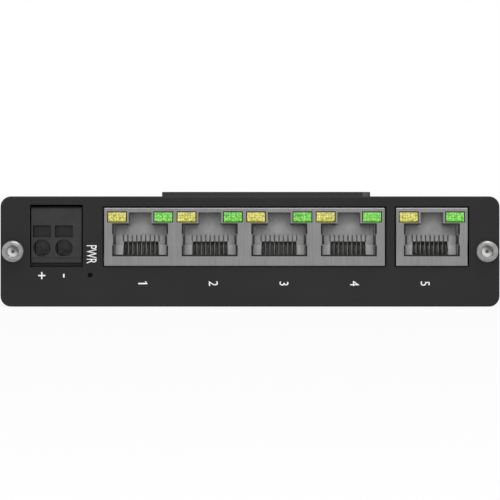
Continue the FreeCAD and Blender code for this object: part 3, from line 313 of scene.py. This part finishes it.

# %% [markdown]
# ## Black coats
#
# Three surfaces of the real switch are black, and each is black in its own way. The end plates
# carry a flat matt coat with a very fine grain. The tube is extruded, so long faint die lines run
# from front to back under its coat. The bracket is folded steel with a slightly glossier coat that
# dried with a soft orange-peel; its edges and one front corner of its leg carry a painted highlight
# in a lighter grey. The colour alone would make them one dull mass, so roughness and bump differ.
# Their specular level is low, because matt black paint hardly mirrors a white room.

# %% Plates, tube and bracket
plate_coat = Finish("plate_coat", (0.017, 0.017, 0.017), 0.62, Specular_IOR_Level=0.22)
powder = plate_coat.grain(0.16 * MM, detail=3)
cloud = plate_coat.grain(14 * MM, detail=2)
plate_coat.colour(plate_coat.blend(plate_coat.band(plate_coat.sum(powder, cloud), 0.7, 1.3),
                                   (0.0150, 0.0150, 0.0152), (0.0190, 0.0190, 0.0188)))
plate_coat.roughness(powder, 0.55, 0.7)
plate_coat.bump(powder, 0.012 * MM, 0.6)

tube_coat = Finish("tube_coat", (0.024, 0.024, 0.025), 0.5, Specular_IOR_Level=0.3)
die_lines = tube_coat.grain(0.35 * MM, detail=4, place=tube_coat.stretched(1, 0.012, 1))
tube_coat.colour(tube_coat.blend(tube_coat.band(die_lines, 0.35, 0.65),
                                 (0.02, 0.02, 0.021), (0.031, 0.031, 0.032)))
tube_coat.roughness(die_lines, 0.42, 0.6)
tube_coat.bump(die_lines, 0.02 * MM, 0.5)

CORNER_HIGHLIGHT_SPAN = 1.3 * MM
CORNER_HIGHLIGHT_GREY = (0.105, 0.105, 0.104)
LEG_END = 27.1 * MM
bracket_coat = Finish("bracket_coat", (0.033, 0.033, 0.034), 0.42, Specular_IOR_Level=0.35)
peel = bracket_coat.grain(0.7 * MM, detail=1)
leg_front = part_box("rail_bracket")[0].y
# Sharp edges of the coat are painted a lighter grey as a painted highlight.
edge_highlighted_coat = bracket_coat.blend(bracket_coat.edges(0.25 * MM), (0.03, 0.03, 0.031), (0.05, 0.05, 0.051))
axes = bracket_coat.axes()
# One front corner of the leg is painted a lighter grey: a painted highlight for the light its
# rounding catches.
at_front = bracket_coat.band(axes["Y"], leg_front + CORNER_HIGHLIGHT_SPAN, leg_front + 0.6 * CORNER_HIGHLIGHT_SPAN)
at_end = bracket_coat.band(axes["X"], LEG_END - CORNER_HIGHLIGHT_SPAN, LEG_END - 0.8 * CORNER_HIGHLIGHT_SPAN)
corner = bracket_coat.sum(at_front, at_end, "MULTIPLY")
bracket_coat.colour(bracket_coat.blend(corner, edge_highlighted_coat, CORNER_HIGHLIGHT_GREY))
bracket_coat.roughness(peel, 0.36, 0.48)
bracket_coat.bump(peel, 0.03 * MM, 0.5)
print("black coats:", ", ".join(Finish.made))

# %% [markdown]
# ## Rolled and turned metal
#
# The jacks' shields are nickel-plated sheet, and the rollers left fine streaks that run up and down
# their faces; their sharp edges carry a painted highlight in a lighter grey. Screws are turned, so
# their marks are rings. The plating in the socket carries a painted highlight on one side and a
# painted shadow on the other, and the drill point in the middle is painted dark as the shade in its
# cone. The contacts, the springs and the power pins are plated wire and strip. A brushed look could
# come from an anisotropic highlight, but at this size the streaks themselves are what the eye sees,
# so they are drawn as stretched noise.

# %% Shields
STREAK = 0.32 * MM
shield_metal = Finish("shield_metal", (0.28, 0.28, 0.28), 0.42, Metallic=1.0)
streaks = shield_metal.grain(STREAK, detail=3, place=shield_metal.stretched(1, 1, 0.035))
smudges = shield_metal.grain(5 * MM, detail=2)
shade = shield_metal.sum(shield_metal.band(streaks, 0.3, 0.7, 0.0, 0.7),
                         shield_metal.band(smudges, 0.3, 0.7, 0.0, 0.3))
rolled = shield_metal.blend(shade, (0.232, 0.232, 0.234), (0.318, 0.318, 0.317))
# Sharp edges of the sheet are painted a lighter grey as a painted highlight.
shield_metal.colour(
    shield_metal.blend(shield_metal.edges(0.12 * MM), rolled, (0.42, 0.42, 0.42)))
shield_metal.roughness(streaks, 0.34, 0.5)
shield_metal.bump(streaks, 0.008 * MM, 0.4)
print("shield streaks", round(STREAK / MM, 2), "mm wide")

# %% Screws
SOCKET_EDGE = (1.35 * MM, 1.15 * MM)
DRILL_SHADE_EDGE = (0.5 * MM, 0.3 * MM)
SOCKET_SHADE_SLOPE = (-0.5 * MM, 0.9 * MM)
SOCKET_PAINTED_HIGHLIGHT, SOCKET_PAINTED_SHADOW = (0.66, 0.66, 0.655), (0.13, 0.13, 0.128)
DRILL_PAINTED_SHADE = (0.09, 0.09, 0.09)

turned_steel = Finish("turned_steel", (0.4, 0.4, 0.395), 0.35, Metallic=0.75)
axes = turned_steel.axes()
across = turned_steel.sum(axes["X"], axes["X"], "MULTIPLY")
along = turned_steel.sum(axes["Z"], axes["Z"], "MULTIPLY")
radius = turned_steel.sum(turned_steel.sum(across, along), 0.5, "POWER")
rings = turned_steel.grain(0.09 * MM, detail=2, place=turned_steel.add(
    "ShaderNodeCombineXYZ", X=radius, Y=axes["Y"]).outputs["Vector"])
patches = turned_steel.grain(0.8 * MM, detail=2)
plated = turned_steel.blend(turned_steel.band(turned_steel.sum(rings, patches), 0.8, 1.2),
                            (0.25, 0.25, 0.248), (0.38, 0.38, 0.376))
# The socket floor carries a painted highlight towards one side and a painted shadow towards the
# other.
shade_slope = turned_steel.sum(axes["Z"], turned_steel.sum(axes["X"], 0.7, "MULTIPLY"))
socket = turned_steel.blend(
    turned_steel.band(shade_slope, *SOCKET_SHADE_SLOPE), SOCKET_PAINTED_HIGHLIGHT, SOCKET_PAINTED_SHADOW)
head = turned_steel.blend(turned_steel.band(radius, *SOCKET_EDGE), plated, socket)
# The drill point in the middle is painted dark as the shade in its cone.
turned_steel.colour(turned_steel.blend(turned_steel.band(radius, *DRILL_SHADE_EDGE), head, DRILL_PAINTED_SHADE))
turned_steel.roughness(rings, 0.28, 0.42)
turned_steel.bump(rings, 0.01 * MM, 0.5)
print("screw sockets fade in over", [round(edge / MM, 2) for edge in SOCKET_EDGE], "mm")

# %% Springs, contacts, pins and cans
drawn_steel = Finish("drawn_steel", (0.5, 0.5, 0.49), 0.3, Metallic=1.0)
draw_marks = drawn_steel.grain(0.2 * MM, detail=3)
drawn_steel.colour(drawn_steel.blend(drawn_steel.band(draw_marks, 0.35, 0.65),
                                     (0.42, 0.42, 0.41), (0.58, 0.58, 0.57)))
drawn_steel.roughness(draw_marks, 0.24, 0.4)

blued_steel = Finish("blued_steel", (0.07, 0.07, 0.072), 0.45, Metallic=0.4, Specular_IOR_Level=0.3)
heat_marks = blued_steel.grain(0.8 * MM, detail=3)
blued_steel.colour(blued_steel.blend(blued_steel.band(heat_marks, 0.35, 0.65),
                                     (0.05, 0.05, 0.052), (0.08, 0.08, 0.082)))
blued_steel.roughness(heat_marks, 0.34, 0.5)

contact_plating = Finish("contact_plating", (0.3, 0.29, 0.26), 0.36, Metallic=1.0)
wipe_marks = contact_plating.grain(0.15 * MM, detail=2,
                                   place=contact_plating.stretched(1, 0.1, 0.1))
contact_plating.colour(contact_plating.blend(contact_plating.band(wipe_marks, 0.35, 0.65),
                                             (0.24, 0.23, 0.2), (0.36, 0.35, 0.31)))
contact_plating.roughness(wipe_marks, 0.25, 0.42)

tinned_brass = Finish("tinned_brass", (0.62, 0.57, 0.46), 0.35, Metallic=1.0)
tin = tinned_brass.grain(0.5 * MM, detail=3)
tinned_brass.colour(tinned_brass.blend(tinned_brass.band(tin, 0.4, 0.62),
                                       (0.66, 0.65, 0.6), (0.6, 0.5, 0.32)))
tinned_brass.roughness(tin, 0.28, 0.45)

drawn_can = Finish("drawn_can", (0.68, 0.68, 0.69), 0.25, Metallic=1.0)
can_marks = drawn_can.grain(0.3 * MM, detail=3, place=drawn_can.stretched(1, 1, 0.05))
drawn_can.colour(drawn_can.blend(drawn_can.band(can_marks, 0.35, 0.65),
                                 (0.6, 0.6, 0.61), (0.74, 0.74, 0.75)))
drawn_can.roughness(can_marks, 0.2, 0.34)
print("metals:", [name for name in Finish.made if "coat" not in name])

# %% [markdown]
# ## Moulded plastic
#
# Each jack's moulding is grey, and its front rim is painted black as the shadow in the gap behind
# the shield, which draws the dark line round the mouth. A grey insert at the back holds the eight
# wires, with two ledges beside them whose lighter grey is a painted highlight. The power plug is
# dark grey with a spark-eroded texture and a foot painted lighter as painted light on its bevel,
# and the rail latch is the same family. Moulded plastic is never one even colour up close: pigment
# swirls a little, and the tool leaves a fine bump, so each plastic gets both at its own scale. The
# rim and the foot could be separate pieces, but a change of colour with depth or height is enough.

# %% Grey, dark and board plastics
PLASTICS = {
    "jack_grey": dict(dark=(0.42, 0.42, 0.42), light=(0.50, 0.50, 0.495),
                      rough=(0.42, 0.55), grit=0.12),
    "carrier_grey": dict(dark=(0.36, 0.36, 0.36), light=(0.43, 0.43, 0.427),
                         rough=(0.4, 0.5), grit=0.1),
    # The ledges' grey is a lighter copy of the carrier's, as a painted highlight.
    "ledge_painted_light_grey": dict(dark=(0.46, 0.46, 0.46), light=(0.54, 0.54, 0.535),
                       rough=(0.4, 0.5), grit=0.1),
    "plug_grey": dict(dark=(0.024, 0.024, 0.025), light=(0.030, 0.030, 0.030),
                      rough=(0.5, 0.64), grit=0.15),
    "latch_black": dict(dark=(0.028, 0.028, 0.03), light=(0.036, 0.036, 0.037),
                        rough=(0.45, 0.58), grit=0.2),
    "package_black": dict(dark=(0.016, 0.016, 0.018), light=(0.026, 0.026, 0.028),
                          rough=(0.5, 0.7), grit=0.08),
    "ferrite_grey": dict(dark=(0.05, 0.05, 0.052), light=(0.09, 0.09, 0.09),
                         rough=(0.6, 0.8), grit=0.06),
    "ceramic_cream": dict(dark=(0.62, 0.58, 0.48), light=(0.75, 0.72, 0.62),
                          rough=(0.3, 0.45), grit=0.05),
}
RIM_DEPTH, RIM_FADE = 0.45 * MM, 0.1 * MM
RIM_PAINTED_SHADE = (0.012, 0.012, 0.012)
PLUG_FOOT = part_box("power_plug_body")[0].z
FOOT_TOP, FOOT_FULL = 1.25 * MM, 0.6 * MM
FOOT_PAINTED_LIGHT = (0.075, 0.075, 0.076)

for name, look in PLASTICS.items():
    plastic = Finish(name, look["light"], look["rough"][0], Specular_IOR_Level=0.3)
    swirl = plastic.grain(2.5 * MM, detail=3, rough=0.6)
    eroded = plastic.grain(look["grit"] * MM, detail=2)
    pigment = plastic.blend(plastic.band(swirl, 0.35, 0.65), look["dark"], look["light"])
    # The moulding's front rim is painted black as the shadow in the gap behind the shield.
    if name == "jack_grey":
        rim_end = panel_face + RIM_DEPTH
        behind_rim = plastic.band(plastic.axes()["Y"], rim_end, rim_end + RIM_FADE)
        pigment = plastic.blend(behind_rim, RIM_PAINTED_SHADE, pigment)
    # The plug's foot is painted a lighter grey as painted light on its lower bevel.
    if name == "plug_grey":
        foot = plastic.band(plastic.axes()["Z"], PLUG_FOOT + FOOT_TOP, PLUG_FOOT + FOOT_FULL)
        pigment = plastic.blend(foot, pigment, FOOT_PAINTED_LIGHT)
    plastic.colour(pigment)
    plastic.roughness(eroded, *look["rough"])
    plastic.bump(eroded, 0.012 * MM, 0.5)
print(len(PLASTICS), "plastics")

# %% [markdown]
# ## Lenses, light rod and board
#
# Each jack has a yellow and a green light in its top corners. The lens is filled with a diffuser
# that looks mottled, like small beads whose bright spots are partly painted glints, with a darker
# rim of painted shade where it meets its window, and two tinned leads come out of its back. Real
# glow could be given to it, but the lights are off and give no glow. The rod that leads the power
# light to its hole is clear, and it is painted almost black as the shade deep in the case. The
# board is green solder mask over copper, whose tracks stand a few hundredths of a millimetre proud.

# %% Yellow and green lenses
LENSES = {
    "yellow_lens": dict(deep=(0.20, 0.17, 0.02), clear=(0.50, 0.47, 0.075),
                        bead_glint=(0.90, 0.87, 0.34)),
    "green_lens": dict(deep=(0.04, 0.18, 0.025), clear=(0.125, 0.49, 0.055),
                       bead_glint=(0.42, 0.87, 0.22)),
}

LENS_LENGTH, LENS_FADE = 7.0 * MM, 0.02 * MM
LENS_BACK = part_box("port_1_yellow_light")[0].y + LENS_LENGTH
LEAD_TIN = (0.20, 0.20, 0.195)
BEAD = 0.58 * MM
for name, look in LENSES.items():
    lens = Finish(name, look["clear"], 0.3, Specular_IOR_Level=0.3)
    beads = lens.cells(BEAD, randomness=0.45, place=lens.stretched(1, 0.3, 1))
    # The beads are the diffuser's mottle, and their near-white colour is partly a painted glint.
    filled = lens.blend(lens.band(beads, 0.1, 0.5), look["bead_glint"], look["clear"])
    patchy = lens.band(lens.grain(0.7 * MM, detail=2), 0.5, 0.7, 0, 0.8)
    filled = lens.blend(patchy, filled, look["deep"])
    # The rim where the lens meets its window is painted in the deep colour as painted shade.
    filled = lens.blend(lens.edges(0.12 * MM), filled, look["deep"])
    on_leads = lens.band(lens.axes()["Y"], LENS_BACK, LENS_BACK + LENS_FADE)
    lens.colour(lens.blend(on_leads, filled, LEAD_TIN))
    lens.bump(beads, 0.02 * MM, 0.3)
print("beads", round(BEAD / MM, 2), "mm")

# %% Clear rod, solder mask and print
# The clear rod is painted almost black as the shade deep in the case.
clear_rod = Finish("clear_rod", (0.006, 0.006, 0.006), 0.35, Specular_IOR_Level=0.05)
mould_line = clear_rod.grain(0.4 * MM, detail=1)
clear_rod.colour(clear_rod.blend(clear_rod.band(mould_line, 0.4, 0.6),
                                 (0.004, 0.004, 0.004), (0.010, 0.011, 0.010)))
clear_rod.roughness(mould_line, 0.3, 0.45)

solder_mask = Finish("solder_mask", (0.01, 0.06, 0.025), 0.3, Specular_IOR_Level=0.3)
tracks = solder_mask.cells(2.2 * MM, place=solder_mask.stretched(1, 0.35, 0))
copper = solder_mask.band(tracks, 0.28, 0.34)
solder_mask.colour(solder_mask.blend(copper, (0.012, 0.075, 0.03), (0.006, 0.04, 0.017)))
solder_mask.roughness(solder_mask.grain(0.4 * MM), 0.22, 0.38)
solder_mask.bump(copper, -0.03 * MM)

white_print = Finish("white_print", (0.82, 0.82, 0.81), 0.6, Specular_IOR_Level=0.2)
ink = white_print.grain(0.07 * MM, detail=2)
white_print.colour(white_print.blend(white_print.band(ink, 0.3, 0.5),
                                     (0.62, 0.62, 0.61), (0.86, 0.86, 0.85)))
white_print.roughness(ink, 0.5, 0.7)
print(len(Finish.made), "finishes")

# %% [markdown]
# ## Dress the solids
#
# The record already says which material slot every solid belongs to, so one short table from slot
# to finish dresses all of them. Setting each piece by hand would be longer and easier to get wrong.

# %% Slots to finishes
SLOT_FINISH = {
    "housing": "tube_coat", "panel": "plate_coat", "bracket": "bracket_coat",
    "screw_steel": "turned_steel", "spring_steel": "drawn_steel", "port_shield": "shield_metal",
    "contact_metal": "contact_plating", "pin_metal": "tinned_brass", "can_metal": "drawn_can",
    "port_insert": "jack_grey", "contact_carrier": "carrier_grey", "plug_plastic": "plug_grey",
    "latch_plastic": "latch_black", "black_package": "package_black", "ferrite": "ferrite_grey",
    "ceramic": "ceramic_cream", "yellow_lens": "yellow_lens", "green_lens": "green_lens",
    "clamp_steel": "blued_steel", "clear_rod": "clear_rod", "board": "solder_mask",
}

for part in frame["record"]["subparts"]:
    solid = frame["nodes"][part["node"]]
    finish = Finish.made[SLOT_FINISH[part["material_slot"]]].material
    if not solid.data.materials:
        solid.data.materials.append(finish)
    for slot in solid.material_slots:
        slot.material = finish

# %% [markdown]
# ## Screws
#
# The end plates are held by button-head screws with a hexagon socket. On the real screw the head is
# a low dome, the socket has a small bevel at its mouth and a drilled cone at its bottom, and the
# shank is threaded. A lathe profile could make the dome but not the socket, and a boolean cut
# leaves ragged faces. So the screw is a row of rings instead, skinned one to the next: the inner
# rings follow the hexagon, the outer ones the circle, and the thread is one more stretch of rings
# whose radius winds as it goes.

# %% Ring meshes


def ringed_mesh(name, rings, finish):
    """A closed skin over rings of points; a ring of one point closes its end."""
    mesh = bpy.data.meshes.new(name)
    shape = bmesh.new()
    rows = [[shape.verts.new(point) for point in ring] for ring in rings]
    for lower, upper in zip(rows, rows[1:]):
        count = max(len(lower), len(upper))
        for i in range(count):
            j = (i + 1) % count
            corners = [lower[i % len(lower)], lower[j % len(lower)],
                       upper[j % len(upper)], upper[i % len(upper)]]
            shape.faces.new(list(dict.fromkeys(corners)))
    bmesh.ops.recalc_face_normals(shape, faces=shape.faces)
    shape.to_mesh(mesh)
    shape.free()
    mesh.materials.append(finish.material)
    return mesh


def shade_smooth(mesh, angle):
    """Smooth shading, except over edges that turn by more than angle degrees."""
    mesh.shade_smooth()
    mesh.set_sharp_from_angle(angle=math.radians(angle))


print("ring meshes can be skinned")

# %% A socket screw
AROUND = 72
SOCKET_FLOOR = 0.42
MOUTH, LIP = 1.16, 1.05
CROWN = 3.0
CROWN_STEPS = 12
RINGS_A_PITCH = 6
THREAD_DEPTH = 0.3


def hexagon(turn, half_width):
    """Distance from the axis to the side of a hexagon, in the direction turn."""
    sixth = math.pi / 3
    return half_width / math.cos((turn + sixth / 2) % sixth - sixth / 2)


def ring_at(height, radius_at):
    """One ring across the screw's axis, which is -Y for its head."""
    turns = [2 * math.pi * i / AROUND for i in range(AROUND)]
    return [(radius_at(turn) * math.cos(turn), -height, radius_at(turn) * math.sin(turn))
            for turn in turns]


def socket_rings(head_height, half):
    """From the drill point in the middle of the socket up its walls to its mouth."""
    floor = SOCKET_FLOOR * head_height
    drill = 0.3 * half
    return [
        [(0, -(floor - 0.75 * drill), 0)],
        ring_at(floor - 0.35 * drill, lambda turn: drill),
        ring_at(floor, lambda turn: 1.7 * drill),
        ring_at(floor, lambda turn: hexagon(turn, 0.96 * half)),
        ring_at(floor + 0.04 * head_height, lambda turn: hexagon(turn, half)),
        ring_at(0.86 * head_height, lambda turn: hexagon(turn, half)),
        ring_at(0.985 * head_height, lambda turn: MOUTH * half),
    ]


def crown_rings(head_radius, head_height, inside):
    """Over the domed head to its rim, and back along its seat."""
    rim = 0.4 * head_height
    top = (1 - (inside / head_radius) ** CROWN) ** (1 / CROWN)
    rings = []
    for step in range(CROWN_STEPS + 1):
        reach = inside + (head_radius - inside) * math.sin(math.pi / 2 * step / CROWN_STEPS)
        crown = max(0.0, 1 - (reach / head_radius) ** CROWN) ** (1 / CROWN)
        rings.append(ring_at(rim + (head_height - rim) * crown / top, lambda turn: reach))
    rings.append(ring_at(0.05 * head_height, lambda turn: head_radius))
    rings.append(ring_at(0.0, lambda turn: 0.975 * head_radius))
    return rings


def shank_rings(shank_radius, length, pitch):
    """Down the threaded shank to its pointed end."""
    rings = [ring_at(0.0, lambda turn: shank_radius)]
    steps = int((length - 2 * pitch) / pitch) * RINGS_A_PITCH
    for step in range(steps + 1):
        fade = min(1.0, step / RINGS_A_PITCH, (steps - step) / RINGS_A_PITCH)

        def winding(turn):
            phase = (step / RINGS_A_PITCH + turn / (2 * math.pi)) % 1
            return shank_radius - THREAD_DEPTH * pitch * fade * abs(2 * phase - 1)
        rings.append(ring_at(-pitch * (0.5 + step / RINGS_A_PITCH), winding))
    rings.append(ring_at(-length + 0.3 * pitch, lambda turn: 0.86 * shank_radius))
    rings.append(ring_at(-length, lambda turn: 0.7 * shank_radius))
    rings.append([(0, length, 0)])
    return rings


def socket_screw(name, head_radius, head_height, socket, shank_radius, length, pitch):
    """A button-head screw at the origin, its seat at y 0 and its head towards -Y."""
    half = socket / 2
    rings = socket_rings(head_height, half)
    rings += crown_rings(head_radius, head_height, MOUTH * half * LIP)
    rings += shank_rings(shank_radius, length, pitch)
    mesh = ringed_mesh(name, rings, Finish.made["turned_steel"])
    shade_smooth(mesh, 32)
    return mesh


print("a screw has", AROUND, "points a ring")

# %% Plate screws and bracket screws
FRONT, BACK = (0, -1, 0), (0, 1, 0)
THREAD_PITCH = 0.5 * MM
PLATE_SCREW = dict(socket=2.5 * MM, shank=1.2 * MM)
BRACKET_SCREW = dict(socket=2.0 * MM, shank=1.4 * MM)
BRACKET_SHEET = 1.2 * MM
rear_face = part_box("rear_panel")[1].y
SCREW_SETS = (
    dict(node="front_panel_screws", seat=panel_face, towards=FRONT, **PLATE_SCREW),
    dict(node="rear_panel_screws", seat=rear_face, towards=BACK, **PLATE_SCREW),
    dict(node="bracket_screws", seat=rear_face + BRACKET_SHEET, towards=BACK, **BRACKET_SCREW),
)

for kind in SCREW_SETS:
    low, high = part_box(kind["node"])
    head_radius = (high.z - low.z) / 2
    head_top, tip = (low.y, high.y) if kind["towards"] == FRONT else (high.y, low.y)
    seat = kind["seat"]
    head_height, length = abs(head_top - seat), abs(seat - tip)
    mesh = socket_screw(kind["node"], head_radius, head_height, kind["socket"], kind["shank"],
                        length, THREAD_PITCH)
    turned = Vector(FRONT).rotation_difference(Vector(kind["towards"])).to_matrix().to_4x4()
    for side, x in (("left", low.x + head_radius), ("right", high.x - head_radius)):
        screw = bpy.data.objects.new(f"{kind['node'][:-1]}_{side}", mesh)
        screw.matrix_world = Matrix.Translation((x, seat, (low.z + high.z) / 2)) @ turned
        scene.collection.objects.link(screw)
        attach(screw, "case")
        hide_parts(kind["node"])
    head_size = [round(size / MM, 2) for size in (2 * head_radius, head_height)]
    print(kind["node"], "heads", head_size, "mm")

# %% [markdown]
# ## Coil spring
#
# A small compression spring pushes the rail latch shut. The solid is a helix of short straight
# runs, good enough for weight and place. The real wire is smooth and its end turns lie flat. A
# curve with a round bevel would do, but this piece has to shorten when the latch is pulled, and
# that works on a mesh, so the wire is skinned straight onto a mesh along the same helix.

# %% Spring wire
WIRE = 0.45 * MM
COILS = 7
PER_COIL = 40
ROUND_WIRE = 12

low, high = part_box("latch_spring")
coil_radius = (high.z - low.z) / 2 - WIRE / 2
coil_axis = Vector((0, (low.y + high.y) / 2, (low.z + high.z) / 2))
first, last = low.x + WIRE / 2, high.x - WIRE / 2


def spring_run(share):
    """How far along the axis the wire is at a share of the winding; its end turns lie flat."""
    turns = COILS * share
    closed = WIRE * (min(turns, 1.0) + max(turns - (COILS - 1), 0.0))
    open_turns = min(max(turns - 1.0, 0.0), COILS - 2.0)
    return first + closed + open_turns * (last - first - 2 * WIRE) / (COILS - 2)


def wire_centre(share):
    """The middle of the wire at a share of the winding."""
    turn = 2 * math.pi * COILS * share
    return Vector((spring_run(share), coil_axis.y + coil_radius * math.cos(turn),
                   coil_axis.z + coil_radius * math.sin(turn)))


NUDGE = 0.001
rings = []
steps = COILS * PER_COIL
for step in range(steps + 1):
    share = step / steps
    centre = wire_centre(share)
    ahead, behind = wire_centre(min(1, share + NUDGE)), wire_centre(max(0, share - NUDGE))
    forward = (ahead - behind).normalized()
    outward = Vector((0, centre.y - coil_axis.y, centre.z - coil_axis.z)).normalized()
    upward = forward.cross(outward).normalized()
    ring = []
    for i in range(ROUND_WIRE):
        turn = 2 * math.pi * i / ROUND_WIRE
        ring.append(centre + WIRE / 2 * (math.cos(turn) * outward + math.sin(turn) * upward))
    rings.append(ring)
rings = [[wire_centre(0)], *rings, [wire_centre(1)]]
spring_mesh = ringed_mesh("coil_spring", rings, Finish.made["drawn_steel"])
shade_smooth(spring_mesh, 50)
spring = bpy.data.objects.new("coil_spring", spring_mesh)
scene.collection.objects.link(spring)
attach(spring, "case")
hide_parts("latch_spring")
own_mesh(spring)

# %% [markdown]
# ## Stop ledges in the jacks
#
# Beside the eight wires two small ledges stand out from the contact carrier, and the plug's nose
# stops against them. They are moulded blocks with softened edges, and their grey is lighter than
# the carrier's as a painted highlight. A cube with a bevel modifier would do, but the edges are
# rounded right in the mesh here, so that the exported shape has them.

# %% Two ledges a port
PORTS = 5
LEDGE_HEIGHT = 2.35 * MM
LEDGE_REACH = 0.9 * MM
LEDGE_ROUND = 0.12 * MM
SINK = 0.05 * MM
CONTACTS_HALF = 4.05 * MM
CARRIER_DEPTH = 11.3 * MM
FLOOR_ABOVE_BOARD = 2.45 * MM


def block(shape, low, high):
    """Adds a box between two corners, with rounded edges."""
    size = Vector(high) - Vector(low)
    middle = (Vector(high) + Vector(low)) / 2
    fitted = Matrix.Translation(middle) @ Matrix.Diagonal((*size, 1))
    made = bmesh.ops.create_cube(shape, size=1, matrix=fitted)
    edges = dict.fromkeys(edge for corner in made["verts"] for edge in corner.link_edges)
    bmesh.ops.bevel(shape, geom=list(edges), offset=LEDGE_ROUND, segments=2, profile=0.5,
                    affect="EDGES")


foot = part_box("main_board")[1].z + FLOOR_ABOVE_BOARD
front = panel_face + CARRIER_DEPTH - LEDGE_REACH
back = front + LEDGE_REACH + SINK
for port in range(1, PORTS + 1):
    low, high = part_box(f"port_{port}_contact_carrier")
    middle, half = (low.x + high.x) / 2, (high.x - low.x) / 2
    shape = bmesh.new()
    for side in (-1, 1):
        near, far = sorted((middle + side * CONTACTS_HALF, middle + side * half))
        block(shape, (near, front, foot), (far, back, foot + LEDGE_HEIGHT))
    ledge_mesh = bpy.data.meshes.new(f"port_{port}_stop_ledges")
    shape.to_mesh(ledge_mesh)
    shape.free()
    shade_smooth(ledge_mesh, 40)
    ledge_mesh.materials.append(Finish.made["ledge_painted_light_grey"].material)
    ledges = bpy.data.objects.new(f"port_{port}_stop_ledges", ledge_mesh)
    scene.collection.objects.link(ledges)
    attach(ledges, "case")
print("ledges", round(LEDGE_HEIGHT / MM, 2), "mm high in", PORTS, "ports")

# %% [markdown]
# ## Printed signs
#
# The front plate is screen-printed in white: a number under each port, PWR beside its light, and
# the two poles of the terminal. They read from the side, as they do when the switch hangs on its
# rail. A texture could hold them, but small letters blur, so each is a very thin solid of ink that
# lies on the plate like the real film. Most are made from the built-in letters. The 1, the plus and
# the minus are drawn as outlines, because the built-in ones have other proportions.

# %% Letters and marks
INK = 0.02 * MM
READ_DOWN = Matrix(((0, 1, 0), (0, 0, -1), (-1, 0, 0))).to_4x4()


def printed(name, mesh, at):
    """A sign of white ink on the plate, around a point given by its x and z."""
    mesh.materials.clear()
    mesh.materials.append(Finish.made["white_print"].material)
    sign = bpy.data.objects.new(name, mesh)
    sign.matrix_world = Matrix.Translation((at[0], panel_face - INK, at[1])) @ READ_DOWN
    scene.collection.objects.link(sign)
    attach(sign, "case")
    return sign


def letters(name, words, height, at, width=None, squeeze=1.0):
    """Words centred on a point, made to a height, and to a width or squeezed."""
    curve = bpy.data.curves.new(name, "FONT")
    curve.body = words
    curve.extrude = 0.5
    curve.resolution_u = 6
    writer = bpy.data.objects.new(name, curve)
    mesh = bpy.data.meshes.new_from_object(writer)
    bpy.data.objects.remove(writer)
    bpy.data.curves.remove(curve)
    xs = [vertex.co.x for vertex in mesh.vertices]
    ys = [vertex.co.y for vertex in mesh.vertices]
    tall = height / (max(ys) - min(ys))
    wide = width / (max(xs) - min(xs)) if width else tall * squeeze
    mesh.transform(Matrix.Diagonal((wide, tall, INK, 1)) @ Matrix.Translation(
        (-(max(xs) + min(xs)) / 2, -(max(ys) + min(ys)) / 2, 0.5)))
    return printed(name, mesh, at)


def outlined(name, at, outline):
    """A mark with the given outline, one ink film thick."""
    count = len(outline)
    points = [(x, y, z) for z in (0, INK) for x, y in outline]
    under, over = range(count - 1, -1, -1), range(count, 2 * count)
    sides = [(i, (i + 1) % count, count + (i + 1) % count, count + i) for i in range(count)]
    mesh = bpy.data.meshes.new(name)
    mesh.from_pydata(points, [], [tuple(under), tuple(over), *sides])
    mesh.update()
    return printed(name, mesh, at)


def bar(length, width):
    a, b = length / 2, width / 2
    return [(-a, -b), (a, -b), (a, b), (-a, b)]


def cross(length, width):
    a, b = length / 2, width / 2
    return [(-b, -a), (b, -a), (b, -b), (a, -b), (a, b), (b, b),
            (b, a), (-b, a), (-b, b), (-a, b), (-a, -b), (-b, -b)]


def numeral_one(height, width, flag):
    """A straight stem with a short slanting flag at its top."""
    a, b = height / 2, width / 2
    return [(-b, -a), (b, -a), (b, a), (-0.2 * b, a), (-b - flag, a - flag),
            (-b - flag, a - 1.7 * flag), (-b, a - 0.9 * flag)]


print("ink", round(INK / MM, 3), "mm thick")

# %% Numbers under the ports
FIRST_NUMBER = (-24.28 * MM, 5.25 * MM)
NUMBER_PITCH = 15.99 * MM
NUMBER_HEIGHT = 2.05 * MM
NUMBER_SQUEEZE = 0.84
STEM, FLAG = 0.32 * MM, 0.34 * MM

outlined("print_number_1", FIRST_NUMBER, numeral_one(NUMBER_HEIGHT, STEM, FLAG))
for port in range(2, PORTS + 1):
    place = (FIRST_NUMBER[0] + (port - 1) * NUMBER_PITCH, FIRST_NUMBER[1])
    letters(f"print_number_{port}", str(port), NUMBER_HEIGHT, place, squeeze=NUMBER_SQUEEZE)
print(PORTS, "numbers,", round(NUMBER_HEIGHT / MM, 2), "mm high")

# %% Power signs
PWR_HEIGHT, PWR_WIDTH = 2.25 * MM, 4.12 * MM
PWR_OFFSET, PWR_LEVEL = 0.33 * MM, 11.85 * MM
PIN_WIDTH = 1.0 * MM
PLUS = dict(level=7.05 * MM, length=1.6 * MM, width=0.3 * MM)
MINUS = dict(level=7.02 * MM, length=0.82 * MM, width=0.36 * MM)

rod_low, rod_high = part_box("power_light_guide")
rod_x = (rod_low.x + rod_high.x) / 2
letters("print_PWR", "PWR", PWR_HEIGHT, (rod_x + PWR_OFFSET, PWR_LEVEL), width=PWR_WIDTH)
pins_low, pins_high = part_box("power_header_pins")
outlined("print_plus", (pins_low.x + PIN_WIDTH / 2, PLUS["level"]),
         cross(PLUS["length"], PLUS["width"]))
outlined("print_minus", (pins_high.x - PIN_WIDTH / 2, MINUS["level"]),
         bar(MINUS["length"], MINUS["width"]))
print("PWR, plus and minus printed")
